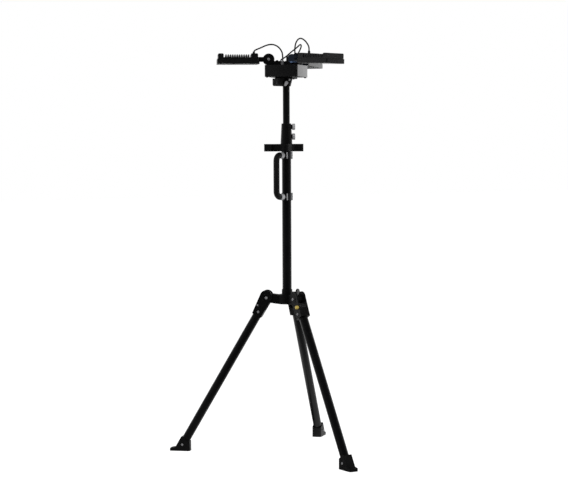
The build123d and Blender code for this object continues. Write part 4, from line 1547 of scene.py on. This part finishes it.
@dataclass
class HeadFrame:
    """What sits on the mast: socket, lever, driver box with its lid and glands, and the lamps' forks.

    Attributes:
        shells: Its pieces with rounded edges.
        eye_azimuth: Where the eye under the box looks.
        eye_ring: The eye's distance from the mast.
        eye_level: The eye's height.
        stud_size: Radius and height of the cap on the eye's screw.
    """

    shells: tuple[Shell, ...] = (
        Shell("head_socket", CASTING, 0.0008, 3),
        Shell("driver_box", BOX_COAT, 0.0011, 3),
        Shell("box_lid", BOX_COAT, 0.0011, 3),
        Shell("tilt_forks", FORK_COAT, 0.0005),
        Shell("cable_glands", GLAND, 0.0004),
        Shell("inlet_gland", GLAND, 0.0004),
        Shell("socket_lever", LEVER, 0.0006),
    )
    eye_azimuth: float = 262.5
    eye_ring: float = 0.03
    eye_level: float = 1.303
    stud_size: Point = (0.0034, 0.0008)

    def build(self, fasteners: Fasteners) -> None:
        """Makes the pieces between the mast and the lamp heads.

        Args:
            fasteners: What makes their bolts and screws.
        """
        for shell in self.shells:
            shell.build()
        dress("driver_board", CIRCUIT)
        fasteners.build("head_screws", BOLT_BLACK)
        fasteners.build("tilt_bolts", BOLT_STEEL)
        self.eye_stud(fasteners)

    def eye_stud(self, fasteners: Fasteners) -> None:
        """Makes the bright cap on the screw of the eye under the box.

        Args:
            fasteners: What finds the screws' ends.
        """
        outward = heading(self.eye_azimuth, 1.0, 0.0)
        eye = heading(self.eye_azimuth, self.eye_ring, self.eye_level)
        ends = [end for screw in fasteners.shanks("head_screws") for end in (screw.low, screw.high)]
        place = min(ends, key=lambda end: (end - eye).length)
        add_cap("eye_stud", self.stud_size, place, outward, THUMB_METAL, body_of("head_screws"))


@dataclass
class LampHead:
    """One lamp: arm, knob, heat sink with its fins, frame, glass and the board with its LEDs.

    Attributes:
        side: Where the lamp points.
        shells: Its pieces with rounded edges.
    """

    side: Side
    shells: tuple[Shell, ...] = (
        Shell("lamp_arm", ARM_COAT, 0.0006),
        Shell("tilt_knob", KNOB, 0.0014, 3),
        Shell("heat_sink", SINK, 0.0004),
        Shell("bezel", BEZEL, 0.0010, 3),
        Shell("lamp_glass", GLASS, 0.0004),
    )

    def build(self, leds: LedArray, fins: SinkFins) -> None:
        """Makes the lamp head's pieces.

        Args:
            leds: What makes its LEDs.
            fins: What makes its heat sink's fins.
        """
        for shell in self.shells:
            shell.build(self.side)
        board = f"led_board_{self.side.value}"
        dress(board, LED_BOARD)
        leds.build(board)
        fins.build(f"heat_sink_{self.side.value}")


@dataclass(frozen=True)
class Panel:
    """A white part of the studio that glossy surfaces mirror.

    Attributes:
        azimuth: Where its middle is.
        reach: How far its full brightness reaches from there, in degrees.
        fade: How far from there it has faded, in degrees.
        level: Its brightness.
    """

    azimuth: float
    reach: float
    fade: float
    level: float

    def shine(self, graph: Graph, unit: Socket) -> Socket:
        """The panel's brightness in a direction of unit length."""
        near = graph.dot(unit, heading(self.azimuth, 1.0, 0.0))
        return near.step(math.cos(math.radians(self.fade)), math.cos(math.radians(self.reach))) * self.level


@dataclass(frozen=True)
class SoftLamp:
    """A soft square lamp.

    Attributes:
        name: Its name.
        place: How far it hangs to the camera's right, away from the camera and up, from the mast's foot.
        size: Its side.
        power: Its power, in watts.
    """

    name: str
    place: Triple
    size: float
    power: float


@dataclass
class Studio:
    """Floor, light and camera.

    Attributes:
        away: Direction from the camera to the object, level.
        distance: The camera's distance from the mast.
        offset: How far the camera stands to its right of the mast.
        height: The camera's height.
        pitch: How far it looks down, in degrees.
        focal: Its focal length, in pixels of the image.
        sensor: Its sensor's width, in millimetres.
        roll: How far it is turned about its line of sight, in degrees.
        floor_size: Width of the floor.
        floor_glow: The floor's own brightness to the camera.
        shaded: How much light the floor sends back to the camera, which shadows darken.
        paper: How much light the floor sends back to the object.
        panels: The backdrop's two sides and the room's, which the floor also shows.
        backdrop: The backdrop's middle.
        room: How bright the dim room is in what glossy surfaces mirror.
        surround: How bright the white surround is on what isn't glossy.
        lamps: The key lamp over the camera's left shoulder and a smaller one from the right.
        middle: The height that the lamps look at.
    """

    away: Triple = (0.5180, 0.8554, 0.0)
    distance: float = 5.93096
    offset: float = -0.010113
    height: float = 1.05513
    pitch: float = 3.1964
    focal: float = 1700.0
    sensor: float = 36.0
    roll: float = -0.25
    floor_size: float = 60.0
    floor_glow: float = 0.86
    shaded: float = 0.3
    paper: float = 0.8
    panels: tuple[Panel, ...] = (
        Panel(15.0, 22.0, 40.0, 1.0),
        Panel(102.0, 22.0, 40.0, 1.0),
        Panel(148.8, 35.0, 60.0, 0.2),
        Panel(328.8, 35.0, 60.0, 0.2),
    )
    backdrop: Panel = Panel(58.8, 12.0, 24.0, 0.6)
    room: float = 0.03
    surround: float = 0.62
    lamps: tuple[SoftLamp, ...] = (
        SoftLamp("key_lamp", (-2.4, -2.0, 3.4), 2.2, 110.0),
        SoftLamp("fill_lamp", (3.0, -0.8, 2.0), 1.6, 45.0),
    )
    middle: float = 0.7

    def camera(self) -> None:
        """Stands the camera where the photograph was taken from."""
        away = Vector(self.away).normalized()
        lens = bpy.data.cameras.new("camera")
        lens.sensor_width = self.sensor
        lens.lens = self.focal * self.sensor / IMAGE_WIDTH
        stand = add_object("camera", lens)
        stand.location = away.cross(UP) * self.offset - away * self.distance + UP * self.height
        turn = math.radians(self.pitch)
        look = away * math.cos(turn) - UP * math.sin(turn)
        tilt = Quaternion(UP, math.radians(self.roll))
        stand.rotation_euler = (look.to_track_quat("-Z", "Y") @ tilt).to_euler()
        bpy.context.scene.camera = stand

    def mirrored(self, graph: Graph, way: Socket, panels: Sequence[Panel]) -> Socket:
        """What glossy surfaces mirror: white panels in a dim room.

        Args:
            graph: The graph of the floor or the world.
            way: The direction from the object, of any length.
            panels: The panels.

        Returns:
            The brightness in that direction.
        """
        unit = graph.node("ShaderNodeVectorMath", {"operation": "NORMALIZE"}, {0: way})
        brightest = panels[0].shine(graph, unit)
        for panel in panels[1:]:
            brightest = brightest.highest(panel.shine(graph, unit))
        return brightest.highest(self.room)

    def floor(self) -> None:
        """Lays a pale floor that keeps a soft shadow."""
        half = self.floor_size / 2
        mesh = bpy.data.meshes.new("floor")
        corners = [(-half, -half, 0.0), (half, -half, 0.0), (half, half, 0.0), (-half, half, 0.0)]
        mesh.from_pydata(corners, [], [(0, 1, 2, 3)])
        laid = add_object("floor", mesh)
        material = bpy.data.materials.new("floor_paper")
        material.use_nodes = True
        graph = Graph(material.node_tree)
        white = rgba(WHITE)
        paper = graph.node("ShaderNodeBsdfDiffuse", {}, {"Color": rgba(WHITE, self.paper)})
        shaded = graph.node("ShaderNodeBsdfDiffuse", {}, {"Color": rgba(WHITE, self.shaded)})
        glow = graph.node("ShaderNodeEmission", {}, {"Color": white, "Strength": self.floor_glow})
        shown = graph.node("ShaderNodeAddShader", {}, {0: shaded, 1: glow})
        level = self.mirrored(graph, graph.place(), self.panels)
        mirror = graph.node("ShaderNodeEmission", {}, {"Color": white, "Strength": level})
        lit = graph.node("ShaderNodeMixShader", {}, {0: graph.ray("Glossy"), 1: paper, 2: mirror})
        surface = graph.node("ShaderNodeMixShader", {}, {0: graph.straight(), 1: lit, 2: shown})
        graph.node("ShaderNodeOutputMaterial", {}, {"Surface": surface})
        mesh.materials.append(material)

    def world(self) -> None:
        """A white surround, dimmer on the camera's side in what glossy surfaces mirror."""
        made = bpy.data.worlds.new("studio")
        made.use_nodes = True
        bpy.context.scene.world = made
        graph = Graph(made.node_tree)
        way = graph.node("ShaderNodeTexCoord", output="Generated")
        level = self.mirrored(graph, way, [*self.panels, self.backdrop])
        glossy, shown = graph.ray("Glossy"), graph.straight()
        level = shown + (1.0 - shown) * (glossy * level + (1.0 - glossy) * self.surround)
        light = graph.node("ShaderNodeBackground", {}, {"Color": rgba(WHITE), "Strength": level})
        graph.node("ShaderNodeOutputWorld", {}, {"Surface": light})

    def light(self) -> None:
        """Hangs the lamps, which look at the middle of the object."""
        away = Vector(self.away).normalized()
        for lamp in self.lamps:
            light = bpy.data.lights.new(lamp.name, "AREA")
            light.size = lamp.size
            light.energy = lamp.power
            to_right, beyond, rise = lamp.place
            place = away.cross(UP) * to_right + away * beyond + UP * rise
            stand = add_object(lamp.name, light)
            stand.location = place
            stand.visible_glossy = False
            stand.rotation_euler = (UP * self.middle - place).to_track_quat("-Z", "Y").to_euler()


def main() -> None:
    """Builds the studio and the flood light, piece by piece."""
    logging.basicConfig(level=logging.INFO, format="%(name)s: %(message)s")
    bpy.context.scene.view_settings.view_transform = "Standard"
    studio = Studio()
    studio.camera()
    for cable in LAMP_CABLES:
        cable.build()
    scatter = Scatter()
    fasteners, leds, fins = Fasteners(scatter), LedArray(scatter), SinkFins(scatter)
    TripodHub().build(fasteners)
    for side in Side:
        TripodLeg(side).build(fasteners)
    Mast().build()
    CarryHandle().build(fasteners)
    HeadFrame().build(fasteners)
    for side in Side:
        LampHead(side).build(leds, fins)
    for kit in (fasteners, leds, fins):
        kit.clear()
    studio.floor()
    studio.world()
    studio.light()


if __name__ == "__main__":
    main()
